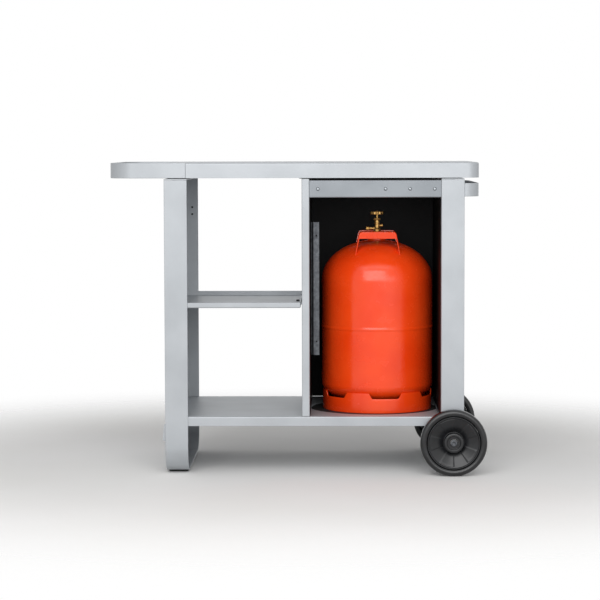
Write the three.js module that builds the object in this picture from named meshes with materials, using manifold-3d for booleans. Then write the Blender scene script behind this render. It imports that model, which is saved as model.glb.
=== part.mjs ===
// A wheeled steel stand for a gas burner, with a gas bottle standing in its cabinet.
// Millimetres, +Z up. X runs along the table with the push handle at -X, and the front faces -Y.
// The origin is on the floor, under the middle of the stand.

import * as THREE from 'three';
import { mergeVertices } from 'three/addons/utils/BufferGeometryUtils.js';
import Module from 'manifold-3d';

const wasm = await Module();
wasm.setup();

// ---- clearances ----
const fitGap = 0.3; // between faces that are welded, bolted or rest on each other
const boreGap = 0.3; // round a shaft or screw, on the radius
const overcut = 1; // that a cutting shape runs past what it cuts

// ---- table ----
const tableLength = 823.5;
const tableDepth = 480;
const tableHeight = 820;
const tableSheet = 2;
const skirtHeight = 40;
const tableBend = 30; // plan radius of the right corners
const beamWidth = 40;
const beamSheet = 3;
const beamEndGap = 12; // between a beam's end and the skirt

// ---- push handle: a flat band round the left end ----
const handleReach = 144; // from the table's left end
const handleSheet = 3;
const handleBend = 60;
const handleOverlap = 57; // length of band that lies along the table's skirt

// ---- side frames: a flat band bent into a U and closed by a plate ----
const frameWidth = 60;
const frameSheet = 3;
const frameBend = 65;
const frameTopGap = 2; // between the frames and the table's skirt
const rightOverhang = 38.5; // of the table past the right frame
const sidePanelSheet = 2;
const leftPanelInset = 22; // of the left frame's plate from its outer edge
const padHeight = 5;
const padLength = 60;
const padWidth = 50;
const rightFrameLift = 28; // of the right frame above the floor
const plugHole = 2.2; // radius of the two holes in the left frame's rear leg
const plugInset = 16.5; // of the plugs from the leg's inner edge
const plugDrop = 86.6; // of the upper plug under the frame's top
const plugPitch = 19.8;
const plugHead = 2.8; // radius
const plugRise = 1.5;

// ---- lip on the left frame ----
const lipReach = 8;
const lipHeight = 45;
const lipBottom = 90;
const lipSheet = 2;
const lipSlope = 5;
const lipTail = 20; // length that lies behind the frame's front face

// ---- lower shelf ----
const shelfHeight = 154;
const shelfSkirt = 25;
const shelfSheet = 2;
const recessRadius = 170;
const recessDepth = 3;
const matSheet = 1.7;

// ---- middle tray ----
const trayHeight = 454; // top of its lip
const trayLip = 14;
const traySheet = 1.5;
const traySideGap = 3; // between the tray and the divider
const bumperRadius = 5;
const bumperHeight = 4;
const bumperInset = 11; // from the tray's right end
const trayScrewInset = 60; // from the tray's front and back

// ---- divider, cabinet and cross rail ----
const cabinetWidth = 345;
const dividerWidth = 20;
const dividerSheet = 1.5;
const dividerLip = 10;
const setBack = frameSheet + fitGap; // of what stands between the frames, behind their front
const linerSheet = 1.5;
const linerSetBack = 27; // of the liners behind the divider's front
const backSheet = 1.5;
const crossRailHeight = 45;
const crossRailDepth = 25;
const crossRailSheet = 2;
const crossRailDrop = 6; // under the table's skirt
const railScrewPlaces = [22.5, 199, 263, 327]; // from the divider

// ---- bracket on the divider: a strip folded four times ----
const bracketHeight = 352;
const bracketDrop = 66; // under the cross rail
const bracketFace = 17;
const bracketStep = 15;
const bracketFoot = 15;
const bracketOffset = 6; // of its face from the liner
const bracketSetBack = 60;
const bracketSheet = 2;
const bracketHole = 2.2;
const bracketHolePlace = 10; // from the face's left edge
const bracketHoleInset = 36;

// ---- rail loop on the right side ----
const sideRailHeight = 35;
const sideRailDrop = 14; // under the table's skirt
const sideRailSheet = 3;
const sideRailBend = 35;
const sideRailOverlap = 48; // inside the right frame

// ---- wheels ----
const wheelRadius = 87.5;
const wheelWidth = 30;
const wheelSideGap = 5; // between a wheel and the right frame
const rimRadius = 68.7;
const tyreShoulder = 9; // radius of the tyre's outer edges
const tyreInnerEdge = 9; // radius of its edges beside the rim
const rimDepth = 13;
const rimWall = 3;
const rimEdge = 1.2; // slope between the rim and the dish
const dishRadius = 65.2;
const dishDepth = 18;
const dishWall = 4;
const bossRadius = 26.5;
const bossRise = 12; // of the boss's face from the wheel's middle plane
const bossHeight = 20; // above the dish's floor
const capRecessRadius = 17.5;
const capRecessDepth = 7;
const rearBossRadius = 26;
const fieldCount = 5; // raised fields round the dish
const fieldAngle = 36; // degrees
const fieldRise = 1.4;
const fieldStart = 2.5; // outside the boss
const fieldEnd = 3; // inside the dish's edge
const axleRadius = 6;
const axleShift = 2; // of the axle from the right frame's middle
const bushWall = 3;
const washerRadius = 12;
const boltHeadRadius = 9;
const boltHeadHeight = 5;
const boltHeadCrown = 2;

// ---- screws ----
const screwRadius = 2.5;
const screwHeadRadius = 4.5;
const screwHeadHeight = 2.6;
const screwHeadCrown = 1.6;
const screwLength = 12;

// ---- gas bottle ----
const bottleRadius = 150;
const bottleWall = 3;
const bottleShift = 8.5; // of the bottle from the cabinet's middle
const bottleY = -20;
const ringHeight = 53;
const ringWall = 3;
const ringCuts = 6;
const ringCutDepth = 15;
const ringCutWidth = 89;
const ringCutTaper = 9;
const ringCutTurn = 8; // degrees, of the front cut from the middle
const bottomHeadHeight = 60;
const bottomHeadRise = 70; // of the bottom weld above the bottle's base
const topHeadHeight = 108;
const topHeadRise = 349; // of the top head's edge above the bottle's base
const beadRise = 223; // of the round weld above the bottle's base
const beadWidth = 12;
const beadHeight = 1.2;
const neckRadius = 15; // of the hole in the top head
const collarRadius = 24;
const collarHeight = 5;
const bowTopWidth = 98;
const bowFootWidth = 120;
const bowHeight = 57;
const bowDepth = 20;
const bowSheet = 3;
const bowFlange = 18; // of the grip's outer edge, folded down
const bowBend = 8;
const bowTilt = 6; // degrees, of each bow away from the valve
const bowPlace = 88; // of a bow's foot from the bottle's axis
const bowFootDrop = 32; // of a bow's foot under the head's top
const rearBowDrop = 4;

// ---- valve ----
const valveBodyRadius = 7;
const valveStemRadius = 10;
const valveBodyTop = 52; // above the top head
const valveShoulder = 27; // above the top head
const valveTaper = 5;
const outletRadius = 4;
const outletReach = 30;
const outletRise = 30;
const outletNutRadius = 6;
const outletNutLength = 9;
const reliefRadius = 3.5;
const reliefCapRadius = 4.2;
const reliefReach = 16;
const reliefRise = 38;
const bonnetRadius = 10.4;
const bonnetHeight = 6;
const spindleRadius = 3;
const handwheelRadius = 19;
const handwheelHeight = 9;
const handwheelLobes = 12;
const handwheelLobe = 3; // radius of the notches between the lobes
const handwheelNotch = 1.8; // depth of a notch
const handwheelRise = 67; // of its underside above the top head
const spindleDepth = 8; // inside the valve's body
const spindleEnd = 1; // above the handwheel

// ---- number of sides on round pieces ----
const bigSides = 40;
const smallSides = 12;
const quarterSteps = 6; // along a quarter of a round edge
const headSteps = 9; // along the outside of the bottle's top head
const hiddenSteps = 5; // along the bottle's other heads
const edgeSteps = 3; // along a tyre's edge

// ---- derived places ----
const axleFromTable = tableLength - rightOverhang - frameWidth / 2 + axleShift; // from its left end
const overallLength = handleReach + Math.max(tableLength, axleFromTable + wheelRadius);
const handleEnd = -overallLength / 2;
const tableLeft = handleEnd + handleReach;
const tableRight = tableLeft + tableLength;
const front = -tableDepth / 2;
const back = tableDepth / 2;
const skirtBottom = tableHeight - skirtHeight;
const seam = tableLeft + handleOverlap;
const frameTop = skirtBottom - frameTopGap;
const leftFrameInner = tableLeft + frameWidth;
const rightFrameOuter = tableRight - rightOverhang;
const rightFrameInner = rightFrameOuter - frameWidth;
const dividerRight = rightFrameInner - cabinetWidth;
const dividerLeft = dividerRight - dividerWidth;
const dividerFront = front + setBack;
const crossRailTop = skirtBottom - crossRailDrop;
const crossRailBottom = crossRailTop - crossRailHeight;
const linerLeft = dividerRight + fitGap;
const linerRight = rightFrameInner - fitGap;
const cabinetMiddle = (dividerRight + rightFrameInner) / 2;
const leftPanelFace = tableLeft + leftPanelInset + sidePanelSheet; // its inner side
const trayLeft = leftPanelFace + fitGap;
const trayRight = dividerLeft - traySideGap;
const trayBase = trayHeight - trayLip;
const trayScrewHeight = trayBase + (trayLip + traySheet) / 2;
const trayScrewRows = [front + trayScrewInset, back - trayScrewInset];
const axleX = tableLeft + axleFromTable;
const wheelMiddle = back + wheelSideGap + wheelWidth / 2;
const bottleX = cabinetMiddle + bottleShift;
const bottleFloor = shelfHeight - recessDepth + fitGap + matSheet + fitGap;
const headTop = topHeadRise + topHeadHeight; // of the bottle, above its base
const ringDrop = (bottomHeadRise - ringHeight) / bottomHeadHeight;
const ringInner = bottleRadius * Math.sqrt(1 - ringDrop * ringDrop) + fitGap; // where the head meets it
const ringRadius = ringInner + ringWall;

// ---- colours and finishes ----
const silverCoat = new THREE.MeshStandardMaterial({ color: 0xc9cdd1, roughness: 0.42, metalness: 0.55 });
const blackCoat = new THREE.MeshStandardMaterial({ color: 0x121212, roughness: 0.45, metalness: 0.1 });
const greyCoat = new THREE.MeshStandardMaterial({ color: 0xa2a8ad, roughness: 0.45, metalness: 0.5 });
const galvanised = new THREE.MeshStandardMaterial({ color: 0x8a8c8e, roughness: 0.5, metalness: 0.8 });
const zincPlate = new THREE.MeshStandardMaterial({ color: 0xb9bbbd, roughness: 0.32, metalness: 0.9 });
const blackRubber = new THREE.MeshStandardMaterial({ color: 0x191919, roughness: 0.85, metalness: 0 });
const tyreRubber = new THREE.MeshStandardMaterial({ color: 0x242527, roughness: 0.7, metalness: 0 });
const greyPlastic = new THREE.MeshStandardMaterial({ color: 0x2d2f32, roughness: 0.5, metalness: 0 });
const whitePlastic = new THREE.MeshStandardMaterial({ color: 0xd8d6cc, roughness: 0.5, metalness: 0 });
const orangePaint = new THREE.MeshStandardMaterial({ color: 0xf4502a, roughness: 0.35, metalness: 0 });
const brass = new THREE.MeshStandardMaterial({ color: 0xa8823c, roughness: 0.4, metalness: 1 });

// ---- shapes ----

// A closed geometry as a solid that can be cut and joined.
function toSolid(geometry) {
  const bare = geometry.clone();
  bare.deleteAttribute('normal');
  bare.deleteAttribute('uv');
  const merged = mergeVertices(bare, 1e-4);
  const corners = merged.index.array;
  const triangles = [];
  for (let i = 0; i < corners.length; i += 3) {
    const [a, b, c] = [corners[i], corners[i + 1], corners[i + 2]];
    if (a !== b && b !== c && c !== a) triangles.push(a, b, c); // none shrunk to a line on the axis
  }
  return new wasm.Manifold(new wasm.Mesh({
    numProp: 3,
    vertProperties: new Float32Array(merged.attributes.position.array),
    triVerts: new Uint32Array(triangles),
  }));
}

function toGeometry(solid) {
  const mesh = solid.getMesh();
  const geometry = new THREE.BufferGeometry();
  geometry.setAttribute('position', new THREE.BufferAttribute(mesh.vertProperties, 3));
  geometry.setIndex(new THREE.BufferAttribute(mesh.triVerts, 1));
  return geometry;
}

function join(first, ...others) {
  let solid = toSolid(first);
  for (const other of others) solid = solid.add(toSolid(other));
  return toGeometry(solid);
}

function cut(first, ...others) {
  let solid = toSolid(first);
  for (const other of others) solid = solid.subtract(toSolid(other));
  return toGeometry(solid);
}

function block(x0, x1, y0, y1, z0, z1) {
  const box = new THREE.BoxGeometry(x1 - x0, y1 - y0, z1 - z0);
  return box.translate((x0 + x1) / 2, (y0 + y1) / 2, (z0 + z1) / 2);
}

// A rectangle with its own radius at each corner, from the low corner round counter-clockwise.
function roundedRectangle(x0, y0, x1, y1, [r0, r1, r2, r3]) {
  const shape = new THREE.Shape();
  const corner = (x, y, radius, start) => {
    if (radius > 0) shape.absarc(x, y, radius, start, start + Math.PI / 2);
    else shape.lineTo(x, y);
  };
  shape.moveTo(x0 + r0, y0);
  corner(x1 - r1, y0 + r1, r1, -Math.PI / 2);
  corner(x1 - r2, y1 - r2, r2, 0);
  corner(x0 + r3, y1 - r3, r3, Math.PI / 2);
  corner(x0 + r0, y0 + r0, r0, Math.PI);
  return shape;
}

function polygon(points) {
  return new THREE.Shape(points.map(([x, y]) => new THREE.Vector2(x, y)));
}

// An outline in X and Y, raised from z0 to z1.
function raised(shape, z0, z1) {
  const options = { depth: z1 - z0, bevelEnabled: false, curveSegments: quarterSteps };
  return new THREE.ExtrudeGeometry(shape, options).translate(0, 0, z0);
}

// An outline in Y and Z, pulled along X from x0 to x1.
const alongX = new THREE.Matrix4().makeBasis(
  new THREE.Vector3(0, 1, 0),
  new THREE.Vector3(0, 0, 1),
  new THREE.Vector3(1, 0, 0),
);
function pulledAlongX(shape, x0, x1) {
  return raised(shape, x0, x1).applyMatrix4(alongX);
}

// An outline in X and Z, pulled along Y from y0 to y1.
function pulledAlongY(shape, y0, y1) {
  return raised(shape, -y1, -y0).rotateX(Math.PI / 2);
}

// A turned piece about Z. The profile's points are [radius, height], counter-clockwise.
function turned(profile, sides) {
  const points = profile.map(([radius, height]) => new THREE.Vector2(radius, height));
  return new THREE.LatheGeometry(points, sides).rotateX(Math.PI / 2);
}

// The same about Y, with the profile's height along Y.
function turnedAlongY(profile, sides) {
  const points = profile.map(([radius, height]) => new THREE.Vector2(radius, height));
  return new THREE.LatheGeometry(points, sides);
}

function ringProfile(inner, outer, z0, z1) {
  return [[inner, z0], [outer, z0], [outer, z1], [inner, z1], [inner, z0]];
}

function discProfile(radius, z0, z1) {
  return [[0, z0], [radius, z0], [radius, z1], [0, z1]];
}

function screwHole() {
  return turnedAlongY(discProfile(screwRadius + boreGap, -screwLength, screwLength), smallSides);
}

// The holes for one end's tray screws, through the tray's lip and what stands beside it.
function trayScrewHoles(x) {
  return trayScrewRows.map((y) => screwHole().rotateZ(Math.PI / 2).translate(x, y, trayScrewHeight));
}

function place(name, geometry, material, parent) {
  const mesh = new THREE.Mesh(geometry, material);
  mesh.name = name;
  parent.add(mesh);
  return mesh;
}

const stand = new THREE.Group();

// ---- table ----

// A pan with a skirt all round. Its left end is stepped in, so the handle's band lies flush on it.
function tableTop() {
  const step = handleSheet + fitGap;
  const outline = (inset) => {
    const bendX = tableRight - tableBend;
    const bend = tableBend - inset;
    const shape = new THREE.Shape();
    shape.moveTo(tableLeft + inset, front + step + inset);
    shape.lineTo(seam + inset, front + step + inset);
    shape.lineTo(seam + inset, front + inset);
    shape.absarc(bendX, front + tableBend, bend, -Math.PI / 2, 0);
    shape.absarc(bendX, back - tableBend, bend, 0, Math.PI / 2);
    shape.lineTo(seam + inset, back - inset);
    shape.lineTo(seam + inset, back - step - inset);
    shape.lineTo(tableLeft + inset, back - step - inset);
    return shape;
  };
  return cut(
    raised(outline(0), skirtBottom, tableHeight),
    raised(outline(tableSheet), skirtBottom - overcut, tableHeight - tableSheet),
  );
}

// A square tube under the table, from its front to its back.
function tableBeam(middle) {
  const top = tableHeight - tableSheet - fitGap;
  const bottom = frameTop + fitGap;
  const half = beamWidth / 2;
  const outline = polygon([
    [middle - half, bottom],
    [middle + half, bottom],
    [middle + half, top],
    [middle - half, top],
  ]);
  const wall = beamSheet;
  outline.holes.push(polygon([
    [middle - half + wall, bottom + wall],
    [middle - half + wall, top - wall],
    [middle + half - wall, top - wall],
    [middle + half - wall, bottom + wall],
  ]));
  const inset = tableSheet + handleSheet + beamEndGap;
  return pulledAlongY(outline, front + inset, back - inset);
}

function handleLoop() {
  const end = seam - fitGap;
  const inner = handleSheet;
  const outer = roundedRectangle(handleEnd, front, end, back, [handleBend, 0, 0, handleBend]);
  const bend = handleBend - inner;
  const hollow = roundedRectangle(
    handleEnd + inner, front + inner, end + overcut, back - inner, [bend, 0, 0, bend],
  );
  const band = raised(outer, skirtBottom, tableHeight);
  return cut(band, raised(hollow, skirtBottom - overcut, tableHeight + overcut));
}

place('table_top', tableTop(), silverCoat, stand);
place('handle_loop', handleLoop(), silverCoat, stand);
place('table_beam_left', tableBeam(tableLeft + frameWidth / 2), galvanised, stand);
place('table_beam_middle', tableBeam((dividerLeft + dividerRight) / 2), galvanised, stand);
place('table_beam_right', tableBeam(rightFrameInner + frameWidth / 2), galvanised, stand);

// ---- side frames ----

// The U of a side frame seen from the side, inset from its outer face.
function frameOutline(bottom, top, inset) {
  const bend = frameBend - inset;
  return roundedRectangle(front + inset, bottom + inset, back - inset, top, [bend, bend, 0, 0]);
}

function frameBand(x0, x1, bottom) {
  const top = frameTop - frameSheet - fitGap;
  const outer = pulledAlongX(frameOutline(bottom, top, 0), x0, x1);
  const hollow = pulledAlongX(frameOutline(bottom, top + overcut, frameSheet), x0 - overcut, x1 + overcut);
  return cut(outer, hollow);
}

function sidePanel(x0, x1, bottom) {
  const top = frameTop - frameSheet - fitGap;
  return pulledAlongX(frameOutline(bottom, top, frameSheet + fitGap), x0, x1);
}

function leftSidePanel() {
  const panel = sidePanel(tableLeft + leftPanelInset, leftPanelFace, padHeight + fitGap);
  return cut(panel, ...trayScrewHoles(trayLeft));
}

const plugX = leftFrameInner - plugInset;
const plugHeights = [frameTop - plugDrop, frameTop - plugDrop - plugPitch];

// The left band has two small holes in its rear leg.
function leftFrameBand() {
  const holes = plugHeights.map((z) => {
    const hole = turnedAlongY(discProfile(plugHole, back - frameSheet - overcut, back + overcut), smallSides);
    return hole.translate(plugX, 0, z);
  });
  return cut(frameBand(tableLeft, leftFrameInner, padHeight + fitGap), ...holes);
}

// A round plug that closes a hole of the rear leg, with its head towards the front.
function legPlug(z) {
  const seat = back - frameSheet - fitGap;
  const shank = plugHole - boreGap;
  const profile = [
    [0, seat - plugRise],
    [plugHead, seat - plugRise],
    [plugHead, seat],
    [shank, seat],
    [shank, back],
    [0, back],
  ];
  return turnedAlongY(profile, smallSides).translate(plugX, 0, z);
}

// The right band has a hole for the axle in its front and its back.
function rightFrameBand() {
  const band = frameBand(rightFrameInner, rightFrameOuter, rightFrameLift);
  const hole = turnedAlongY(discProfile(axleRadius + boreGap, front - overcut, back + overcut), smallSides);
  return cut(band, hole.translate(axleX, 0, wheelRadius));
}

// A small folded lip that stands out past the left frame's outer edge.
function leftLip() {
  const top = lipBottom + lipHeight;
  const outline = polygon([
    [tableLeft + lipTail, lipBottom],
    [tableLeft + lipTail, top],
    [tableLeft - lipReach + lipSlope, top],
    [tableLeft - lipReach, lipBottom],
  ]);
  const y0 = front + frameSheet + fitGap;
  return pulledAlongY(outline, y0, y0 + lipSheet);
}

function footPad(y0) {
  const middle = tableLeft + frameWidth / 2;
  return block(middle - padWidth / 2, middle + padWidth / 2, y0, y0 + padLength, 0, padHeight);
}

const topPlate = (x0) => block(x0, x0 + frameWidth, front, back, frameTop - frameSheet, frameTop);

place('left_frame_band', leftFrameBand(), silverCoat, stand);
place('leg_plug_upper', legPlug(plugHeights[0]), blackRubber, stand);
place('leg_plug_lower', legPlug(plugHeights[1]), blackRubber, stand);
place('left_side_panel', leftSidePanel(), silverCoat, stand);
place('left_top_plate', topPlate(tableLeft), silverCoat, stand);
place('left_front_pad', footPad(front + frameBend), blackRubber, stand);
place('left_rear_pad', footPad(back - frameBend - padLength), blackRubber, stand);
place('left_lip', leftLip(), silverCoat, stand);
place('right_frame_band', rightFrameBand(), silverCoat, stand);
const rightPanel = sidePanel(rightFrameInner, rightFrameInner + sidePanelSheet, rightFrameLift);
place('right_side_panel', rightPanel, silverCoat, stand);
place('right_top_plate', topPlate(rightFrameInner), silverCoat, stand);

// ---- lower shelf ----

// A pan turned upside down, with a round recess for the bottle's mat.
function lowerShelf() {
  const x0 = leftPanelFace + fitGap;
  const x1 = rightFrameInner - fitGap;
  const y0 = front + setBack;
  const y1 = back - setBack;
  const bottom = shelfHeight - shelfSkirt;
  const under = shelfHeight - shelfSheet;
  const body = block(x0, x1, y0, y1, bottom, shelfHeight);
  const inner = block(
    x0 + shelfSheet, x1 - shelfSheet, y0 + shelfSheet, y1 - shelfSheet, bottom - overcut, under,
  );
  const dish = turned(discProfile(recessRadius + shelfSheet, under - recessDepth, shelfHeight), bigSides);
  const floor = shelfHeight - recessDepth;
  const recess = turned(discProfile(recessRadius, floor, shelfHeight + overcut), bigSides);
  const solid = toSolid(body).subtract(toSolid(inner));
  const pan = solid.add(toSolid(dish.translate(cabinetMiddle, bottleY, 0)));
  return toGeometry(pan.subtract(toSolid(recess.translate(cabinetMiddle, bottleY, 0))));
}

function bottleMat() {
  const base = shelfHeight - recessDepth + fitGap;
  const disc = turned(discProfile(recessRadius - fitGap, base, base + matSheet), bigSides);
  return disc.translate(cabinetMiddle, bottleY, 0);
}

place('lower_shelf', lowerShelf(), silverCoat, stand);
place('bottle_mat', bottleMat(), blackRubber, stand);

// ---- middle tray ----

function middleTray() {
  const y0 = front + setBack;
  const y1 = back - setBack;
  const pan = cut(
    block(trayLeft, trayRight, y0, y1, trayBase, trayHeight),
    block(
      trayLeft + traySheet, trayRight - traySheet, y0 + traySheet, y1 - traySheet,
      trayBase + traySheet, trayHeight + overcut,
    ),
  );
  return cut(pan, ...trayScrewHoles(trayLeft), ...trayScrewHoles(trayRight));
}

function trayBumper() {
  const base = trayBase + traySheet + fitGap;
  const disc = turned(discProfile(bumperRadius, base, base + bumperHeight), smallSides);
  return disc.translate(trayRight - bumperInset, 0, 0);
}

place('middle_tray', middleTray(), silverCoat, stand);
place('tray_bumper', trayBumper(), blackRubber, stand);

// ---- screws: a round head on a plain shank, pointing along +Y ----
function screw(length) {
  const head = [
    [0, -screwHeadHeight],
    [screwHeadRadius - screwHeadCrown, -screwHeadHeight],
    [screwHeadRadius, screwHeadCrown - screwHeadHeight],
    [screwHeadRadius, 0],
    [screwRadius, 0],
    [screwRadius, length],
    [0, length],
  ];
  return turnedAlongY(head, smallSides);
}

// The tray hangs on two screws into the side panel and two into the divider.
['front', 'rear'].forEach((row, n) => {
  const left = place(`tray_screw_left_${row}`, screw(screwLength), zincPlate, stand);
  left.position.set(trayLeft + traySheet + fitGap, trayScrewRows[n], trayScrewHeight);
  left.rotation.z = Math.PI / 2;
  const right = place(`tray_screw_right_${row}`, screw(screwLength), zincPlate, stand);
  right.position.set(trayRight - traySheet - fitGap, trayScrewRows[n], trayScrewHeight);
  right.rotation.z = -Math.PI / 2;
});

// ---- divider and cabinet ----

// A sheet folded into a flat channel, open towards the cabinet.
function divider() {
  const y0 = dividerFront;
  const y1 = back - setBack;
  const top = frameTop;
  const bottom = shelfHeight + fitGap;
  const [low, high] = [bottom - overcut, top + overcut];
  const wall = dividerSheet;
  const tube = cut(
    block(dividerLeft, dividerRight, y0, y1, bottom, top),
    block(dividerLeft + wall, dividerRight - wall, y0 + wall, y1 - wall, low, high),
  );
  const mouthLeft = dividerRight - wall - overcut;
  const mouth = block(mouthLeft, dividerRight + overcut, y0 + dividerLip, y1 - dividerLip, low, high);
  return cut(tube, mouth, ...trayScrewHoles(dividerLeft));
}

const linerFront = dividerFront + linerSetBack;
const linerBack = back - setBack - backSheet - fitGap;
const linerBottom = shelfHeight + fitGap;
const linerTop = crossRailTop;

function cabinetBack() {
  return block(linerLeft, linerRight, back - setBack - backSheet, back - setBack, linerBottom, linerTop);
}

// A channel under the table's front edge, open towards the back.
function crossRail() {
  const y0 = dividerFront;
  const y1 = y0 + crossRailDepth;
  const wall = crossRailSheet;
  const outline = polygon([
    [y0, crossRailBottom],
    [y1, crossRailBottom],
    [y1, crossRailBottom + wall],
    [y0 + wall, crossRailBottom + wall],
    [y0 + wall, crossRailTop - wall],
    [y1, crossRailTop - wall],
    [y1, crossRailTop],
    [y0, crossRailTop],
  ]);
  const rail = pulledAlongX(outline, dividerRight + fitGap, rightFrameInner - fitGap);
  const holes = railScrewPlaces.map((place) => {
    return screwHole().translate(dividerRight + place, y0, railScrewHeight);
  });
  return cut(rail, ...holes);
}

// A strip that stands on the divider's liner: foot, step back and a face to the front.
function dividerBracket() {
  const foot = linerLeft + linerSheet + fitGap;
  const face = foot + bracketOffset;
  const y0 = front + bracketSetBack;
  const y1 = y0 + bracketStep;
  const sheet = bracketSheet;
  const outline = polygon([
    [face, y0],
    [face + bracketFace, y0],
    [face + bracketFace, y0 + sheet],
    [face + sheet, y0 + sheet],
    [face + sheet, y1 + sheet],
    [foot + sheet, y1 + sheet],
    [foot + sheet, y1 + bracketFoot],
    [foot, y1 + bracketFoot],
    [foot, y1],
    [face, y1],
  ]);
  const top = crossRailBottom - bracketDrop;
  const bottom = top - bracketHeight;
  const holes = [top - bracketHoleInset, bottom + bracketHoleInset].map((z) => {
    const hole = turnedAlongY(discProfile(bracketHole, -sheet, sheet * 2), smallSides);
    return hole.translate(face + bracketHolePlace, y0, z);
  });
  return cut(raised(outline, bottom, top), ...holes);
}

const railScrewHeight = crossRailBottom + crossRailHeight / 2 - fitGap;

place('divider', divider(), silverCoat, stand);
place('divider_bracket', dividerBracket(), galvanised, stand);
place('cabinet_back', cabinetBack(), blackCoat, stand);
place(
  'cabinet_liner_left',
  block(linerLeft, linerLeft + linerSheet, linerFront, linerBack, linerBottom, linerTop),
  blackCoat,
  stand,
);
place(
  'cabinet_liner_right',
  block(linerRight - linerSheet, linerRight, linerFront, linerBack, linerBottom, linerTop),
  blackCoat,
  stand,
);
place('cross_rail', crossRail(), greyCoat, stand);

railScrewPlaces.forEach((fromDivider, n) => {
  const mesh = place(`rail_screw_${n + 1}`, screw(screwLength), zincPlate, stand);
  mesh.position.set(dividerRight + fromDivider, dividerFront - fitGap, railScrewHeight);
});

// ---- rail loop on the right side: its ends lie inside the right frame's band ----
function sideRail() {
  const inset = frameSheet + fitGap;
  const top = skirtBottom - sideRailDrop;
  const bottom = top - sideRailHeight;
  const x0 = rightFrameOuter - sideRailOverlap;
  const wall = sideRailSheet;
  const bend = sideRailBend;
  const outer = roundedRectangle(x0, front + inset, tableRight, back - inset, [0, bend, bend, 0]);
  const innerBend = bend - wall;
  const hollow = roundedRectangle(
    x0 - overcut, front + inset + wall, tableRight - wall, back - inset - wall, [0, innerBend, innerBend, 0],
  );
  return cut(raised(outer, bottom, top), raised(hollow, bottom - overcut, top + overcut));
}

place('side_rail', sideRail(), silverCoat, stand);

// ---- axle, with a washer and an end bolt at each side ----

const axle = new THREE.Group();
axle.position.set(axleX, 0, wheelRadius);
stand.add(axle);

const recessFloor = bossRise - capRecessDepth;
const axleEnd = wheelMiddle + recessFloor;
place('axle', turnedAlongY(discProfile(axleRadius, -axleEnd, axleEnd), smallSides), zincPlate, axle);

// Both ends are modelled facing +Y, and the front one is turned round.
function axleEndPieces(side, turn) {
  const end = new THREE.Group();
  end.rotation.z = turn;
  axle.add(end);
  const washer = ringProfile(axleRadius + boreGap, washerRadius, back + fitGap, back + wheelSideGap - fitGap);
  place(`axle_washer_${side}`, turnedAlongY(washer, smallSides), zincPlate, end);
  const seat = axleEnd + fitGap;
  const head = [
    [0, seat],
    [boltHeadRadius, seat],
    [boltHeadRadius, seat + boltHeadHeight - boltHeadCrown],
    [boltHeadRadius - boltHeadCrown, seat + boltHeadHeight],
    [0, seat + boltHeadHeight],
  ];
  place(`axle_bolt_${side}`, turnedAlongY(head, smallSides), galvanised, end);
}
axleEndPieces('front', Math.PI);
axleEndPieces('rear', 0);

// ---- wheels ----

// A wheel's disc, with its outer face towards +Y: boss, recess, dish with raised fields, and rim.
function wheelDisc() {
  const bore = axleRadius + boreGap + bushWall + boreGap;
  const half = wheelWidth / 2;
  const dishFloor = bossRise - bossHeight;
  const profile = [
    [bore, -half],
    [rearBossRadius, -half],
    [rearBossRadius, dishFloor - dishWall],
    [dishRadius, dishFloor + dishDepth - dishWall],
    [rimRadius - rimWall, dishFloor + dishDepth - dishWall],
    [rimRadius - rimWall, -rimDepth],
    [rimRadius, -rimDepth],
    [rimRadius, rimDepth],
    [dishRadius + rimEdge, rimDepth],
    [dishRadius, dishFloor + dishDepth],
    [bossRadius, dishFloor],
    [bossRadius, bossRise],
    [capRecessRadius, bossRise],
    [capRecessRadius, recessFloor],
    [bore, recessFloor],
    [bore, -half],
  ];
  const start = bossRadius + fieldStart;
  const end = dishRadius - fieldEnd;
  const slope = dishDepth / (dishRadius - bossRadius);
  const floorAt = (radius) => dishFloor + slope * (radius - bossRadius);
  const band = [
    [start, floorAt(start) - dishWall / 2],
    [end, floorAt(end) - dishWall / 2],
    [end, floorAt(end) + fieldRise],
    [start, floorAt(start) + fieldRise],
    [start, floorAt(start) - dishWall / 2],
  ];
  const spread = THREE.MathUtils.degToRad(fieldAngle / 2);
  const reach = rimRadius / Math.cos(spread);
  const fields = [];
  for (let n = 0; n < fieldCount; n += 1) {
    const middle = (n * 2 * Math.PI) / fieldCount;
    const corners = [middle - spread, middle + spread].map((angle) => {
      return [reach * Math.cos(angle), reach * Math.sin(angle)];
    });
    const wedge = pulledAlongY(polygon([[0, 0], ...corners]), -half, half);
    const field = toSolid(turnedAlongY(band, bigSides)).intersect(toSolid(wedge));
    fields.push(toGeometry(field));
  }
  return join(turnedAlongY(profile, bigSides), ...fields);
}

// A solid tyre: both edges are round on both sides.
function tyre() {
  const half = wheelWidth / 2;
  const low = rimRadius + fitGap + tyreInnerEdge;
  const high = wheelRadius - tyreShoulder;
  const profile = [];
  const edge = (radius, height, bend, start) => {
    for (let n = 0; n <= edgeSteps; n += 1) {
      const angle = start + (n * Math.PI) / 2 / edgeSteps;
      profile.push([radius + bend * Math.cos(angle), height + bend * Math.sin(angle)]);
    }
  };
  edge(low, tyreInnerEdge - half, tyreInnerEdge, -Math.PI);
  edge(high, tyreShoulder - half, tyreShoulder, -Math.PI / 2);
  edge(high, half - tyreShoulder, tyreShoulder, 0);
  edge(low, half - tyreInnerEdge, tyreInnerEdge, Math.PI / 2);
  profile.push(profile[0]);
  return turnedAlongY(profile, bigSides);
}

function bush() {
  const inner = axleRadius + boreGap;
  const profile = ringProfile(inner, inner + bushWall, -wheelWidth / 2, recessFloor - boreGap);
  return turnedAlongY(profile, smallSides);
}

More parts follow.
